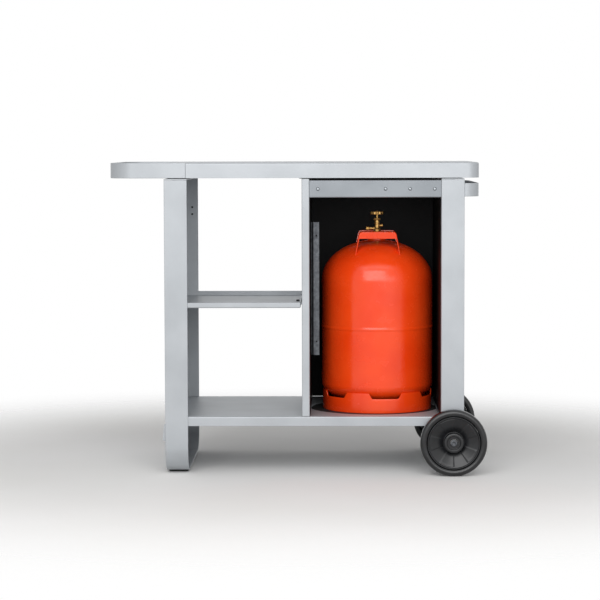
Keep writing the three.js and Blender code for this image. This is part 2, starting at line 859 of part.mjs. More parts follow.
function wheel(side, middle, turn) {
  const group = new THREE.Group();
  group.position.set(axleX, middle, wheelRadius);
  group.rotation.z = turn;
  stand.add(group);
  place(`wheel_${side}`, wheelDisc(), greyPlastic, group);
  place(`tyre_${side}`, tyre(), tyreRubber, group);
  place(`wheel_bush_${side}`, bush(), whitePlastic, group);
}
wheel('front', -wheelMiddle, Math.PI);
wheel('rear', wheelMiddle, 0);

// ---- gas bottle ----

const bottle = new THREE.Group();
bottle.position.set(bottleX, bottleY, bottleFloor);
stand.add(bottle);

// Points round a head, from its edge to the given radius: rise is +1 for the top and -1 for the bottom.
function headPoints(radius, height, edge, rise, toRadius, steps) {
  const points = [];
  const last = Math.acos(toRadius / radius);
  for (let n = 0; n <= steps; n += 1) {
    const angle = (n * last) / steps;
    points.push([radius * Math.cos(angle), edge + rise * height * Math.sin(angle)]);
  }
  return points;
}

// The outside of the bottle, grown by the given amount and closed across its neck.
function bottleEnvelope(grow) {
  const radius = bottleRadius + grow;
  const low = headPoints(radius, bottomHeadHeight + grow, bottomHeadRise, -1, 0, hiddenSteps);
  const high = headPoints(radius, topHeadHeight + grow, topHeadRise, 1, neckRadius, headSteps);
  return turned([...low.reverse(), ...high, [0, headTop + grow]], bigSides);
}

function bottleShell() {
  const outerLow = headPoints(bottleRadius, bottomHeadHeight, bottomHeadRise, -1, 0, hiddenSteps).reverse();
  const outerHigh = headPoints(bottleRadius, topHeadHeight, topHeadRise, 1, neckRadius, headSteps);
  const inside = bottleRadius - bottleWall;
  const innerHigh = headPoints(inside, topHeadHeight - bottleWall, topHeadRise, 1, neckRadius, hiddenSteps);
  const innerLow = headPoints(inside, bottomHeadHeight - bottleWall, bottomHeadRise, -1, 0, hiddenSteps);
  const bead = [
    [bottleRadius, beadRise - beadWidth / 2],
    [bottleRadius + beadHeight, beadRise - beadWidth / 4],
    [bottleRadius + beadHeight, beadRise + beadWidth / 4],
    [bottleRadius, beadRise + beadWidth / 2],
  ];
  const profile = [...outerLow, ...bead, ...outerHigh, ...innerHigh.reverse(), ...innerLow];
  return toGeometry(toSolid(turned(profile, bigSides)));
}

// The foot: a plain ring with wedge-shaped cuts in its top edge.
function footRing() {
  const ring = turned(ringProfile(ringInner, ringRadius, 0, ringHeight), bigSides);
  const half = ringCutWidth / 2;
  const wedge = polygon([
    [-half + ringCutTaper, ringHeight - ringCutDepth],
    [half - ringCutTaper, ringHeight - ringCutDepth],
    [half, ringHeight + overcut],
    [-half, ringHeight + overcut],
  ]);
  const cuts = [];
  for (let n = 0; n < ringCuts; n += 1) {
    const angle = THREE.MathUtils.degToRad(ringCutTurn + (n * 360) / ringCuts);
    cuts.push(pulledAlongY(wedge, -ringRadius - ringWall, -ringRadius / 2).rotateZ(angle));
  }
  return cut(ring, ...cuts);
}

function neckCollar() {
  const inner = valveStemRadius + boreGap;
  const profile = ringProfile(inner, collarRadius, headTop - collarHeight, headTop + collarHeight);
  return cut(turned(profile, smallSides * 2), bottleEnvelope(fitGap));
}

// A flat strip bent into a carrying bow, leaning away from the valve, cut to the top head.
// The outer edge of its grip is folded down.
function carryBow(turn, drop) {
  const foot = bowFootWidth / 2;
  const top = bowTopWidth / 2;
  const height = bowHeight - drop;
  const sink = bowHeight; // length of leg below the foot, before it is cut to the head
  const lean = ((foot - top) / height) * sink;
  const arch = (inset) => {
    const shape = new THREE.Shape();
    shape.moveTo(-foot - lean + inset, -sink - inset);
    shape.lineTo(foot + lean - inset, -sink - inset);
    shape.lineTo(top - inset, height - bowBend);
    shape.quadraticCurveTo(top - inset, height - inset, top - bowBend, height - inset);
    shape.lineTo(-top + bowBend, height - inset);
    shape.quadraticCurveTo(-top + inset, height - inset, -top + inset, height - bowBend);
    return shape;
  };
  const half = bowDepth / 2;
  const outer = toSolid(pulledAlongY(arch(0), -half, half));
  const inner = toSolid(pulledAlongY(arch(bowSheet), -half - overcut, half + overcut));
  const plate = toSolid(pulledAlongY(arch(0), -half, bowSheet - half));
  const flangeEnd = height - bowFlange;
  const legs = toSolid(block(-foot - lean, foot + lean, -bowDepth, bowDepth, -sink - bowHeight, flangeEnd));
  const strip = toGeometry(outer.subtract(inner).add(plate.subtract(legs)));
  strip.rotateX(THREE.MathUtils.degToRad(bowTilt));
  strip.translate(0, -bowPlace, headTop - bowFootDrop);
  strip.rotateZ(turn);
  return cut(strip, bottleEnvelope(fitGap));
}

place('bottle_shell', bottleShell(), orangePaint, bottle);
place('bottle_foot_ring', footRing(), orangePaint, bottle);
place('bottle_neck_collar', neckCollar(), orangePaint, bottle);
place('carry_bow_front', carryBow(0, 0), orangePaint, bottle);
place('carry_bow_rear', carryBow(Math.PI, rearBowDrop), orangePaint, bottle);

// ---- valve ----

const valve = new THREE.Group();
valve.position.z = headTop;
bottle.add(valve);

function valveBody() {
  const bore = spindleRadius + boreGap;
  const top = valveBodyTop;
  const stem = [
    [0, -collarHeight],
    [valveStemRadius, -collarHeight],
    [valveStemRadius, valveShoulder],
    [valveBodyRadius, valveShoulder + valveTaper],
    [valveBodyRadius, top],
    [bore, top],
    [bore, top - spindleDepth - fitGap],
    [0, top - spindleDepth - fitGap],
  ];
  const outlet = turnedAlongY(discProfile(outletRadius, 0, outletReach - outletNutLength), smallSides);
  const relief = turnedAlongY(discProfile(reliefRadius, 0, reliefReach / 2), smallSides);
  return join(
    turned(stem, smallSides),
    outlet.rotateZ(Math.PI / 2).translate(0, 0, outletRise),
    relief.rotateZ(-Math.PI / 2).translate(0, 0, reliefRise),
  );
}

// A six-sided piece on the side of the valve, pointing along +Y before it is turned.
function sideNut(radius, start, end) {
  return turnedAlongY(discProfile(radius, start, end), 6);
}

place('valve_body', valveBody(), brass, valve);
const outletNut = sideNut(outletNutRadius, outletReach - outletNutLength + fitGap, outletReach);
place('outlet_nut', outletNut.rotateZ(Math.PI / 2).translate(0, 0, outletRise), brass, valve);
const reliefCap = sideNut(reliefCapRadius, reliefReach / 2 + fitGap, reliefReach);
place('relief_cap', reliefCap.rotateZ(-Math.PI / 2).translate(0, 0, reliefRise), brass, valve);
const bonnetBase = valveBodyTop + fitGap;
const bonnet = turned(discProfile(bonnetRadius, bonnetBase, bonnetBase + bonnetHeight), 6);
const bonnetBore = turned(discProfile(spindleRadius + boreGap, valveBodyTop, handwheelRise), smallSides);
place('valve_bonnet', cut(bonnet, bonnetBore), brass, valve);

// The spindle turns in the bonnet and the body, with the handwheel on its top.
function handwheel() {
  const bore = spindleRadius + boreGap;
  const base = handwheelRise;
  const top = base + handwheelHeight;
  const disc = turned(ringProfile(bore, handwheelRadius, base, top), bigSides);
  const notches = [];
  for (let n = 0; n < handwheelLobes; n += 1) {
    const angle = ((n + 0.5) * 2 * Math.PI) / handwheelLobes;
    const notch = turned(discProfile(handwheelLobe, base - overcut, top + overcut), smallSides);
    const reach = handwheelRadius + handwheelLobe - handwheelNotch;
    notches.push(notch.translate(reach * Math.cos(angle), reach * Math.sin(angle), 0));
  }
  return cut(disc, ...notches);
}

const spindle = discProfile(
  spindleRadius, valveBodyTop - spindleDepth, handwheelRise + handwheelHeight + spindleEnd,
);
place('valve_spindle', turned(spindle, smallSides), brass, valve);
place('handwheel', handwheel(), brass, valve);

export default stand;
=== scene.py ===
import math
import bmesh
import bpy
from mathutils import Matrix, Vector


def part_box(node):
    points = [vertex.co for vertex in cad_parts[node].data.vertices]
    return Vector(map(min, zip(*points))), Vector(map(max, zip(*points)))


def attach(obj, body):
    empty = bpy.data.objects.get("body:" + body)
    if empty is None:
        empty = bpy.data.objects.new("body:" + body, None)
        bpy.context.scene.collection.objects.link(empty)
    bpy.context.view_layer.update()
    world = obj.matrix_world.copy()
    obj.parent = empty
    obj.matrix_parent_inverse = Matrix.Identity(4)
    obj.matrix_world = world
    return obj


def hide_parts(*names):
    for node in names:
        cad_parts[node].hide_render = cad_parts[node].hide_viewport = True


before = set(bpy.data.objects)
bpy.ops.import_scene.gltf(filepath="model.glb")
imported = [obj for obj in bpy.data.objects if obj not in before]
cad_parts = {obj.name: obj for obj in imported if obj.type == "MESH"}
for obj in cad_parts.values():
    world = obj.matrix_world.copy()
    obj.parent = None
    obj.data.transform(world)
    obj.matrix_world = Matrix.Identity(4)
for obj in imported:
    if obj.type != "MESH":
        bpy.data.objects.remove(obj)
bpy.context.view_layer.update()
print("frame loaded with", len(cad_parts), "nodes")


# The camera stands about 6 m in front, a little higher than the table.
view = {
    "place": (0.0954, -5.9614, 0.8652),
    "pitch": 4.037,  # degrees down
    "yaw": 0.905,  # degrees towards the handle
    "roll": -0.145,
    "lens": 131.55,
    "sensor": 36,
}


def makeCamera():
    pitch, yaw, roll = (math.radians(view[key]) for key in ("pitch", "yaw", "roll"))
    ahead = Vector((-math.sin(yaw) * math.cos(pitch), math.cos(yaw) * math.cos(pitch), -math.sin(pitch)))
    level = Vector((math.cos(yaw), math.sin(yaw), 0))
    upright = level.cross(ahead)
    right = level * math.cos(roll) + upright * math.sin(roll)
    up = upright * math.cos(roll) - level * math.sin(roll)
    data = bpy.data.cameras.new("camera")
    data.lens = view["lens"]
    data.sensor_width = view["sensor"]
    camera = bpy.data.objects.new("camera", data)
    turn = Matrix((right, up, -ahead)).transposed().to_4x4()
    camera.matrix_world = Matrix.Translation(view["place"]) @ turn
    bpy.context.scene.collection.objects.link(camera)
    bpy.context.scene.camera = camera


makeCamera()
print("camera placed")


def toLinear(colour):
    parts = [int(colour[i:i + 2], 16) / 255 for i in (1, 3, 5)]
    return [p / 12.92 if p <= 0.04045 else ((p + 0.055) / 1.055) ** 2.4 for p in parts] + [1]


def addNode(tree, kind, links=None, **settings):
    node = tree.nodes.new(kind)
    for key, value in settings.items():
        setattr(node, key, value)
    for key, value in (links or {}).items():
        if isinstance(value, bpy.types.NodeSocket):
            tree.links.new(value, node.inputs[key])
        else:
            node.inputs[key].default_value = value
    return node


# Grain of the given size, in metres.
def addGrain(tree, where, size, detail):
    grain = addNode(tree, "ShaderNodeTexNoise", {"Vector": where, "Scale": 1 / size, "Detail": detail})
    return grain.outputs["Fac"]


def addCells(tree, where, size, output):
    cells = addNode(tree, "ShaderNodeTexVoronoi", {"Vector": where, "Scale": 1 / size})
    return cells.outputs[output]


# Spreads a value's limits over the given reach.
def addRange(tree, value, reach, limits=(0, 1)):
    spread = addNode(tree, "ShaderNodeMapRange", {
        "Value": value, "From Min": limits[0], "From Max": limits[1],
        "To Min": reach[0], "To Max": reach[1],
    })
    return spread.outputs["Result"]


def addBump(tree, height, strength, depth):
    bump = addNode(tree, "ShaderNodeBump", {"Height": height, "Strength": strength, "Distance": depth})
    return bump.outputs["Normal"]


# Two tones that drift into each other. The patch is their size in metres.
def driftingTone(tree, where, tones):
    cloud = addGrain(tree, where, tones["patch"], detail=3)
    ramp = addNode(tree, "ShaderNodeValToRGB", {"Fac": cloud})
    low, high = ramp.color_ramp.elements
    low.position = 0.35
    high.position = 0.65
    low.color = toLinear(tones["low"])
    high.color = toLinear(tones["high"])
    return ramp.outputs["Color"]


def startMaterial(name):
    material = bpy.data.materials.new(name)
    material.use_nodes = True
    material.node_tree.nodes.clear()
    tree = material.node_tree
    where = addNode(tree, "ShaderNodeTexCoord").outputs["Object"]
    return material, tree, where


def closeMaterial(material, sockets):
    shader = addNode(material.node_tree, "ShaderNodeBsdfPrincipled", sockets)
    addNode(material.node_tree, "ShaderNodeOutputMaterial", {"Surface": shader.outputs["BSDF"]})
    return material


# Powder coat, baked on steel: satin, with fine orange peel and soft clouds.
def powderCoat(name, coat):
    material, tree, where = startMaterial(name)
    peel = addGrain(tree, where, coat["peel"], detail=2)
    return closeMaterial(material, {
        "Base Color": driftingTone(tree, where, coat),
        "Metallic": coat["metallic"],
        "Roughness": addRange(tree, peel, coat["roughness"]),
        "Specular IOR Level": coat["specular"],
        "Normal": addBump(tree, peel, coat["bump"], depth=0.0003),
    })


# On the table and its handle, the side frames and their rail, the shelves and the divider.
silverCoat = {
    "low": "#abafb3", "high": "#b3b7bb", "patch": 0.11, "peel": 0.0035, "bump": 0.12,
    "roughness": (0.38, 0.5), "metallic": 0.26, "specular": 0.3,
}

# On the cross rail: the silver coat's satin skin in a darker tone, which paints in the shade that the
# table's overhang casts on the rail.
railShadeCoat = {
    "low": "#898e93", "high": "#92979c", "patch": 0.09, "peel": 0.0035, "bump": 0.12,
    "roughness": (0.45, 0.45), "metallic": 0.2, "specular": 0.3,
}

# Inside the cabinet: deep black with a soft sheen.
blackCoat = {
    "low": "#0b0b0c", "high": "#121213", "patch": 0.08, "peel": 0.003, "bump": 0.1,
    "roughness": (0.5, 0.5), "metallic": 0.0, "specular": 0.14,
}


# Galvanised steel, left bare: dull grey with pale crystals.
def galvanisedSteel():
    steel = {"low": "#484a4e", "high": "#606367", "patch": 0.008, "crystal": 0.008}
    material, tree, where = startMaterial("galvanisedSteel")
    crystal = addCells(tree, where, steel["crystal"], "Color")
    return closeMaterial(material, {
        "Base Color": driftingTone(tree, where, steel),
        "Metallic": 0.8,
        "Roughness": addRange(tree, crystal, (0.42, 0.58)),
    })


# Zinc-plated screws and axle: bright, with fine turning marks.
def zincPlatedSteel():
    plate = {"low": "#7b7f83", "high": "#94989c", "patch": 0.004, "mark": 0.0006}
    material, tree, where = startMaterial("zincPlatedSteel")
    mark = addGrain(tree, where, plate["mark"], detail=2)
    return closeMaterial(material, {
        "Base Color": driftingTone(tree, where, plate),
        "Metallic": 1.0,
        "Roughness": 0.24,
        "Normal": addBump(tree, mark, strength=0.15, depth=0.0001),
    })


# Moulded black rubber of the pads, plugs, mat and bumper: matt, with a fine leather-like grain.
def mouldedRubber():
    rubber = {"low": "#141414", "high": "#1d1d1e", "patch": 0.03, "grain": 0.0012}
    material, tree, where = startMaterial("mouldedRubber")
    grain = addCells(tree, where, rubber["grain"], "Distance")
    return closeMaterial(material, {
        "Base Color": driftingTone(tree, where, rubber),
        "Roughness": 0.72,
        "Normal": addBump(tree, grain, strength=0.3, depth=0.0003),
    })


# Solid rubber tyre, moulded smooth: near black, with a dull shine and some dust.
def tyreRubber():
    rubber = {"low": "#121315", "high": "#1b1c1e", "patch": 0.02, "grain": 0.0015}
    material, tree, where = startMaterial("tyreRubber")
    grain = addGrain(tree, where, rubber["grain"], detail=3)
    return closeMaterial(material, {
        "Base Color": driftingTone(tree, where, rubber),
        "Roughness": addRange(tree, grain, (0.24, 0.36)),
        "IOR": 1.52,
        "Specular IOR Level": 0.5,
        "Normal": addBump(tree, grain, strength=0.15, depth=0.0003),
    })


# Moulded polypropylene of the wheels: dark grey with a faint spark-eroded grain.
def mouldedPolypropylene():
    plastic = {"low": "#131416", "high": "#1b1c1f", "patch": 0.03, "grain": 0.0014}
    material, tree, where = startMaterial("mouldedPolypropylene")
    grain = addGrain(tree, where, plastic["grain"], detail=3)
    return closeMaterial(material, {
        "Base Color": driftingTone(tree, where, plastic),
        "Roughness": 0.32,
        "IOR": 1.49,
        "Specular IOR Level": 0.5,
        "Normal": addBump(tree, grain, strength=0.2, depth=0.0002),
    })


# Moulded acetal of the wheel bushes: white and slightly waxy.
def mouldedAcetal():
    plastic = {"low": "#dfdfda", "high": "#e9e9e5", "patch": 0.01}
    material, tree, where = startMaterial("mouldedAcetal")
    return closeMaterial(material, {
        "Base Color": driftingTone(tree, where, plastic),
        "Roughness": 0.38,
        "IOR": 1.48,
    })


# Orange-red enamel sprayed on the bottle: glossy, slightly wavy, duller where it is scuffed.
def orangeEnamel():
    enamel = {"low": "#f4400c", "high": "#fd4c15", "patch": 0.12, "peel": 0.005, "scuff": 0.035}
    material, tree, where = startMaterial("orangeEnamel")
    peel = addGrain(tree, where, enamel["peel"], detail=1)
    scuff = addGrain(tree, where, enamel["scuff"], detail=6)
    return closeMaterial(material, {
        "Base Color": driftingTone(tree, where, enamel),
        "Roughness": addRange(tree, scuff, (0.18, 0.34), limits=(0.4, 0.75)),
        "Normal": addBump(tree, peel, strength=0.1, depth=0.0004),
    })


# Cast and turned brass of the valve: yellow, tarnished brown in patches.
def castBrass():
    brass = {"low": "#a87f45", "high": "#e0b873", "patch": 0.006, "grain": 0.0008}
    material, tree, where = startMaterial("castBrass")
    grain = addGrain(tree, where, brass["grain"], detail=3)
    return closeMaterial(material, {
        "Base Color": driftingTone(tree, where, brass),
        "Metallic": 1.0,
        "Roughness": addRange(tree, grain, (0.36, 0.6)),
        "Normal": addBump(tree, grain, strength=0.3, depth=0.0002),
    })


finishes = {
    "silver_coat": powderCoat("silverPowderCoat", silverCoat),
    # darker copy of the silver coat: painted shade under the table's overhang
    "grey_coat": powderCoat("railShadePowderCoat", railShadeCoat),
    "black_coat": powderCoat("blackPowderCoat", blackCoat),
    "galvanised_steel": galvanisedSteel(),
    "zinc_plate": zincPlatedSteel(),
    "black_rubber": mouldedRubber(),
    "tyre_rubber": tyreRubber(),
    "grey_plastic": mouldedPolypropylene(),
    "white_plastic": mouldedAcetal(),
    "orange_paint": orangeEnamel(),
    "brass": castBrass(),
}
print("materials made:", len(finishes))


near = 1e-6  # points closer than this lie in one place


# The four corners of a rectangle, from its low corner round to its upper left one.
def oblong(left, low, right, high):
    return [(left, low), (right, low), (right, high), (left, high)]


# Points round a circle, from the angle "turn" on.
def circle(radius, sides, turn=0.0):
    angles = [turn + 2 * math.pi * n / sides for n in range(sides)]
    return [(radius * math.cos(angle), radius * math.sin(angle)) for angle in angles]


# Each corner of a path becomes an arc. A radius is one number or one for each corner.
def roundCorners(points, radius, closed=True, steps=6):
    rounded = []
    for i, point in enumerate(points):
        bend = radius[i] if isinstance(radius, (list, tuple)) else radius
        here = Vector(point)
        if bend <= 0 or (not closed and i in (0, len(points) - 1)):
            rounded.append(here)
            continue
        back = (Vector(points[i - 1]) - here).normalized()
        on = (Vector(points[(i + 1) % len(points)]) - here).normalized()
        angle = back.angle(on)
        centre = here + (back + on).normalized() * (bend / math.sin(angle / 2))
        start = here + back * (bend / math.tan(angle / 2)) - centre
        end = here + on * (bend / math.tan(angle / 2)) - centre
        sweep = math.pi - angle
        for n in range(steps + 1):
            a = math.sin((1 - n / steps) * sweep) / math.sin(sweep)
            b = math.sin(n / steps * sweep) / math.sin(sweep)
            rounded.append(centre + start * a + end * b)
    return rounded


# A path moved to its left by the given distance.
def offsetPath(path, distance):
    moved = []
    for i, point in enumerate(path):
        ways = []
        if i > 0:
            ways.append((path[i] - path[i - 1]).normalized())
        if i < len(path) - 1:
            ways.append((path[i + 1] - path[i]).normalized())
        sides = [Vector((-way.y, way.x)) for way in ways]
        aim = sum(sides, Vector((0, 0)))
        scale = distance if len(sides) == 1 else distance / (1 + sides[0].dot(sides[1]))
        moved.append(point + aim * scale)
    return moved


# The section of a sheet folded along a path, with its thickness on the path's left.
def foldedSheet(points, radius, thickness, steps=5):
    path = roundCorners(points, radius, closed=False, steps=steps)
    return path + list(reversed(offsetPath(path, thickness)))


# Quads between two loops with as many points each.
def joinLoops(bm, low, high):
    for i in range(len(low)):
        bm.faces.new((low[i - 1], low[i], high[i], high[i - 1]))


# Triangles between an outline and the loop of a hole in it.
def fillBetween(bm, *loops):
    edges = [bm.edges.get((loop[i - 1], loop[i])) for loop in loops for i in range(len(loop))]
    bmesh.ops.triangle_fill(bm, use_beauty=True, edges=edges)


# A point from its two places across an axis and its place along it.
def spot(axis, a, b, along):
    return Vector({"x": (along, a, b), "y": (a, along, b), "z": (a, b, along)}[axis])


# An outline pulled along an axis. A strip has a folded sheet's outline and is closed by quads.
def prism(outline, axis, start, end, hole=None, strip=False):
    bm = bmesh.new()
    walls = []
    for loop in [outline] + ([hole] if hole else []):
        low = [bm.verts.new(spot(axis, *p, start)) for p in loop]
        high = [bm.verts.new(spot(axis, *p, end)) for p in loop]
        joinLoops(bm, low, high)
        walls.append((low, high))
    for ends in zip(*walls):
        loop = ends[0]
        if hole:
            fillBetween(bm, *ends)
        elif strip:
            for i in range(len(loop) // 2 - 1):
                bm.faces.new((loop[i], loop[i + 1], loop[-2 - i], loop[-1 - i]))
        else:
            bm.faces.new(loop)
    bmesh.ops.recalc_face_normals(bm, faces=bm.faces)
    return bm


def block(low, high, corner=0.0):
    outline = oblong(low[0], low[1], high[0], high[1])
    return prism(roundCorners(outline, corner, steps=4), "z", low[2], high[2])


# A profile of (radius, height) points turned round an axis that runs through a place.
def turned(profile, sides, axis, place, closed=False, flip=False):
    bm = bmesh.new()
    sign = -1 if flip else 1
    rings = []
    for radius, height in profile + (profile[:1] if closed else []):
        ring = circle(radius, sides if radius > near else 1)
        rings.append([bm.verts.new(spot(axis, a, b, sign * height) + Vector(place)) for a, b in ring])
    for low, high in zip(rings, rings[1:]):
        for n in range(sides):
            quad = [ring[m % len(ring)] for ring, m in ((low, n), (low, n + 1), (high, n + 1), (high, n))]
            corners = list(dict.fromkeys(quad))
            if len(corners) > 2:
                bm.faces.new(corners)
    bmesh.ops.remove_doubles(bm, verts=bm.verts, dist=near)
    bmesh.ops.recalc_face_normals(bm, faces=bm.faces)
    return bm


# A pan of sheet: the flat face at "face", the walls down or up to "rim", and a fold between them.
# outlineAt gives the outline moved in by a distance. A dish is pressed into the face where one is given.
def pan(outlineAt, face, rim, sheet, fold, dish=None):
    bm = bmesh.new()
    way = 1 if rim < face else -1
    foldSteps = 4
    rims = []
    for skin in (0.0, sheet):
        bend = fold - skin
        levels = [(skin, rim)]
        for n in range(foldSteps + 1):
            angle = math.pi / 2 * n / foldSteps
            inset = skin + bend * (1 - math.cos(angle))
            levels.append((inset, face - way * (skin + bend * (1 - math.sin(angle)))))
        loops = []
        for inset, height in levels:
            loops.append([bm.verts.new((*p, height)) for p in outlineAt(inset)])
        for low, high in zip(loops, loops[1:]):
            joinLoops(bm, low, high)
        rims.append(loops[0])
        if not dish:
            bm.faces.new(loops[-1])
            continue
        centre, rounds = dish["centre"], []
        for radius, depth in dish["profile"]:
            level = face - way * (skin + depth)
            ring = circle(radius, dish["sides"])
            rounds.append([bm.verts.new((centre.x + x, centre.y + y, level)) for x, y in ring])
        for low, high in zip(rounds, rounds[1:]):
            joinLoops(bm, low, high)
        bm.faces.new(rounds[-1])
        fillBetween(bm, loops[-1], rounds[0])
    joinLoops(bm, *rims)
    bmesh.ops.recalc_face_normals(bm, faces=bm.faces)
    return bm


def joinMeshes(whole, *parts):
    for part in parts:
        mesh = bpy.data.meshes.new("part")
        part.to_mesh(mesh)
        part.free()
        whole.from_mesh(mesh)
        bpy.data.meshes.remove(mesh)
    return whole


def linkMesh(name, bm):
    mesh = bpy.data.meshes.new(name)
    bm.to_mesh(mesh)
    bm.free()
    thing = bpy.data.objects.new(name, mesh)
    bpy.context.scene.collection.objects.link(thing)
    return thing


# A piece goes by its node's name in camel case: left_lip gives leftLip.
def pieceName(node):
    first, *others = node.split("_")
    return first + "".join(word.title() for word in others)


easing = {"segments": 2, "angle": 38, "sharp": 60}  # angles in degrees


# Turns a mesh into a piece of the object: drilled, its edges eased, its normals weighted by face.
# A piece without eased edges, such as a turned one, is smooth up to the given angle.
def makePiece(bm, body, slotName, node, name=None, edge=0.0004, drills=(), smooth=40):
    name = name or pieceName(node)
    piece = linkMesh(name, bm)
    mesh = piece.data
    cutters = [linkMesh("drill", drill) for drill in drills]
    for cutter in cutters:
        hole = piece.modifiers.new("hole", "BOOLEAN")
        hole.object = cutter
        hole.operation = "DIFFERENCE"
        hole.solver = "EXACT"
    if edge:
        smooth = easing["sharp"]
        ease = piece.modifiers.new("ease", "BEVEL")
        ease.width = edge
        ease.segments = easing["segments"]
        ease.limit_method = "ANGLE"
        ease.angle_limit = math.radians(easing["angle"])
        ease.use_clamp_overlap = True
    for polygon in mesh.polygons:
        polygon.use_smooth = True
    mesh.set_sharp_from_angle(angle=math.radians(smooth))
    weigh = piece.modifiers.new("weigh", "WEIGHTED_NORMAL")
    weigh.keep_sharp = True
    graph = bpy.context.evaluated_depsgraph_get()
    baked = bpy.data.meshes.new_from_object(piece.evaluated_get(graph))
    piece.modifiers.clear()
    piece.data = baked
    baked.name = name
    bpy.data.meshes.remove(mesh)
    for cutter in cutters:
        bpy.data.objects.remove(cutter)
    baked.materials.clear()
    baked.materials.append(finishes[slotName])
    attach(piece, body)
    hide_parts(node)


table = {
    "sheet": 0.002, "fold": 0.0045, "edge": 0.0003,
    "corner": 0.030,  # of the right end, seen from above
    "step": 0.0033,  # of the skirt behind the handle's arms
    "seam": 0.0003,
    "seamEdge": 0.0009,  # rounds its side of the seam
    "leastEdge": 0.0002,  # that is left of it on the inner skin
}


def makeTable():
    low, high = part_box("table_top")
    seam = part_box("handle_loop")[1].x + table["seam"]
    step = table["step"]

    def outlineAt(inset):
        bend = table["corner"] - inset
        ease = max(table["seamEdge"] - inset, table["leastEdge"])
        left, middle, right = low.x + inset, seam + inset, high.x - inset
        front, back = low.y + inset, high.y - inset
        corners = [
            (left, front + step), (middle, front + step), (middle, front), (right, front),
            (right, back), (middle, back), (middle, back - step), (left, back - step),
        ]
        return roundCorners(corners, [0, 0, ease, bend, bend, ease, 0, 0], steps=12)

    bm = pan(outlineAt, high.z, low.z, table["sheet"], table["fold"])
    makePiece(bm, "stand", "silver_coat", "table_top", edge=table["edge"])


handle = {"sheet": 0.003, "bend": 0.060, "edge": 0.0011}


def makeHandle():
    low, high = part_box("handle_loop")
    path = [(high.x, low.y), (low.x, low.y), (low.x, high.y), (high.x, high.y)]
    outline = foldedSheet(path, handle["bend"], -handle["sheet"], steps=20)
    bm = prism(outline, "z", low.z, high.z, strip=True)
    makePiece(bm, "stand", "silver_coat", "handle_loop", edge=handle["edge"])


beam = {"wall": 0.003, "corner": 0.006}


def makeBeam(node):
    low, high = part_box(node)
    wall = beam["wall"]
    outer = roundCorners(oblong(low.x, low.z, high.x, high.z), beam["corner"])
    inner = oblong(low.x + wall, low.z + wall, high.x - wall, high.z - wall)
    hole = roundCorners(inner, beam["corner"] - wall, steps=4)
    bm = prism(outer, "y", low.y, high.y, hole=hole)
    makePiece(bm, "stand", "galvanised_steel", node)


makeTable()
makeHandle()
for place in ("left", "middle", "right"):
    makeBeam(f"table_beam_{place}")
print("table made")


sideFrame = {"sheet": 0.003, "bend": 0.065, "edge": 0.0009, "panelGap": 0.0003}

# Two plugs sit in holes of the left rear leg.
plug = {
    "hole": 0.0022, "shank": 0.0019, "head": 0.0028, "rise": 0.0015,
    "crown": 0.0011, "rim": 0.0002, "tip": 0.0003,
}


# The band of a side frame. Its rear leg is drilled for the given plugs.
def makeFrameBand(node, plugs=()):
    low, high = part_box(node)
    path = [(low.y, high.z), (low.y, low.z), (high.y, low.z), (high.y, high.z)]
    outline = foldedSheet(path, sideFrame["bend"], sideFrame["sheet"], steps=16)
    start, end = high.y - 2 * sideFrame["sheet"], high.y + sideFrame["sheet"]
    drills = []
    for plugNode in plugs:
        plugLow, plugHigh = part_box(plugNode)
        middle = (plugLow + plugHigh) / 2
        drills.append(turned(oblong(0, start, plug["hole"], end), 24, "y", (middle.x, 0, middle.z)))
    bm = prism(outline, "x", low.x, high.x)
    makePiece(bm, "stand", "silver_coat", node, edge=sideFrame["edge"], drills=drills)


# A plug with a domed head that faces the front.
def makePlug(node):
    low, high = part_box(node)
    middle = (low + high) / 2
    seat = low.y + plug["rise"]
    corners = [
        (0, low.y), (plug["head"], low.y), (plug["head"], seat),
        (plug["shank"], seat), (plug["shank"], high.y), (0, high.y),
    ]
    profile = roundCorners(corners, [0, plug["crown"], plug["rim"], 0, plug["tip"], 0], steps=4)
    bm = turned(profile, 32, "y", (middle.x, 0, middle.z))
    makePiece(bm, "stand", "black_rubber", node, edge=0)


def makeSidePanel(node):
    low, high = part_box(node)
    bend = sideFrame["bend"] - sideFrame["sheet"] - sideFrame["panelGap"]
    outline = roundCorners(oblong(low.y, low.z, high.y, high.z), [bend, bend, 0, 0], steps=16)
    makePiece(prism(outline, "x", low.x, high.x), "stand", "silver_coat", node)


def makePlate(node, slotName="silver_coat", corner=0.0, edge=0.0005):
    low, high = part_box(node)
    makePiece(block(low, high, corner), "stand", slotName, node, edge=edge)


pad = {"corner": 0.005, "edge": 0.0012}
lip = {"slope": 0.005, "corner": 0.004}


def makeLip():
    low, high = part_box("left_lip")
    corners = [(high.x, low.z), (high.x, high.z), (low.x + lip["slope"], high.z), (low.x, low.z)]
    outline = roundCorners(corners, [0, 0, lip["corner"], lip["corner"]])
    makePiece(prism(outline, "y", low.y, high.y), "stand", "silver_coat", "left_lip")


makeFrameBand("left_frame_band", ["leg_plug_upper", "leg_plug_lower"])
makeFrameBand("right_frame_band")
makePlug("leg_plug_upper")
makePlug("leg_plug_lower")
makeSidePanel("left_side_panel")
makeSidePanel("right_side_panel")
makePlate("left_top_plate")
makePlate("right_top_plate")
makePlate("left_front_pad", "black_rubber", **pad)
makePlate("left_rear_pad", "black_rubber", **pad)
makeLip()
print("side frames made")


shelf = {
    "sheet": 0.002, "fold": 0.0038, "corner": 0.0042, "edge": 0.0003,
    "recess": 0.170, "depth": 0.003, "slope": 0.005,
}
leastCorner = 0.0003  # that is left where an outline moves in


def squareOutline(low, high, corner):
    def outlineAt(inset):
        square = oblong(low.x + inset, low.y + inset, high.x - inset, high.y - inset)
        return roundCorners(square, max(corner - inset, leastCorner))
    return outlineAt


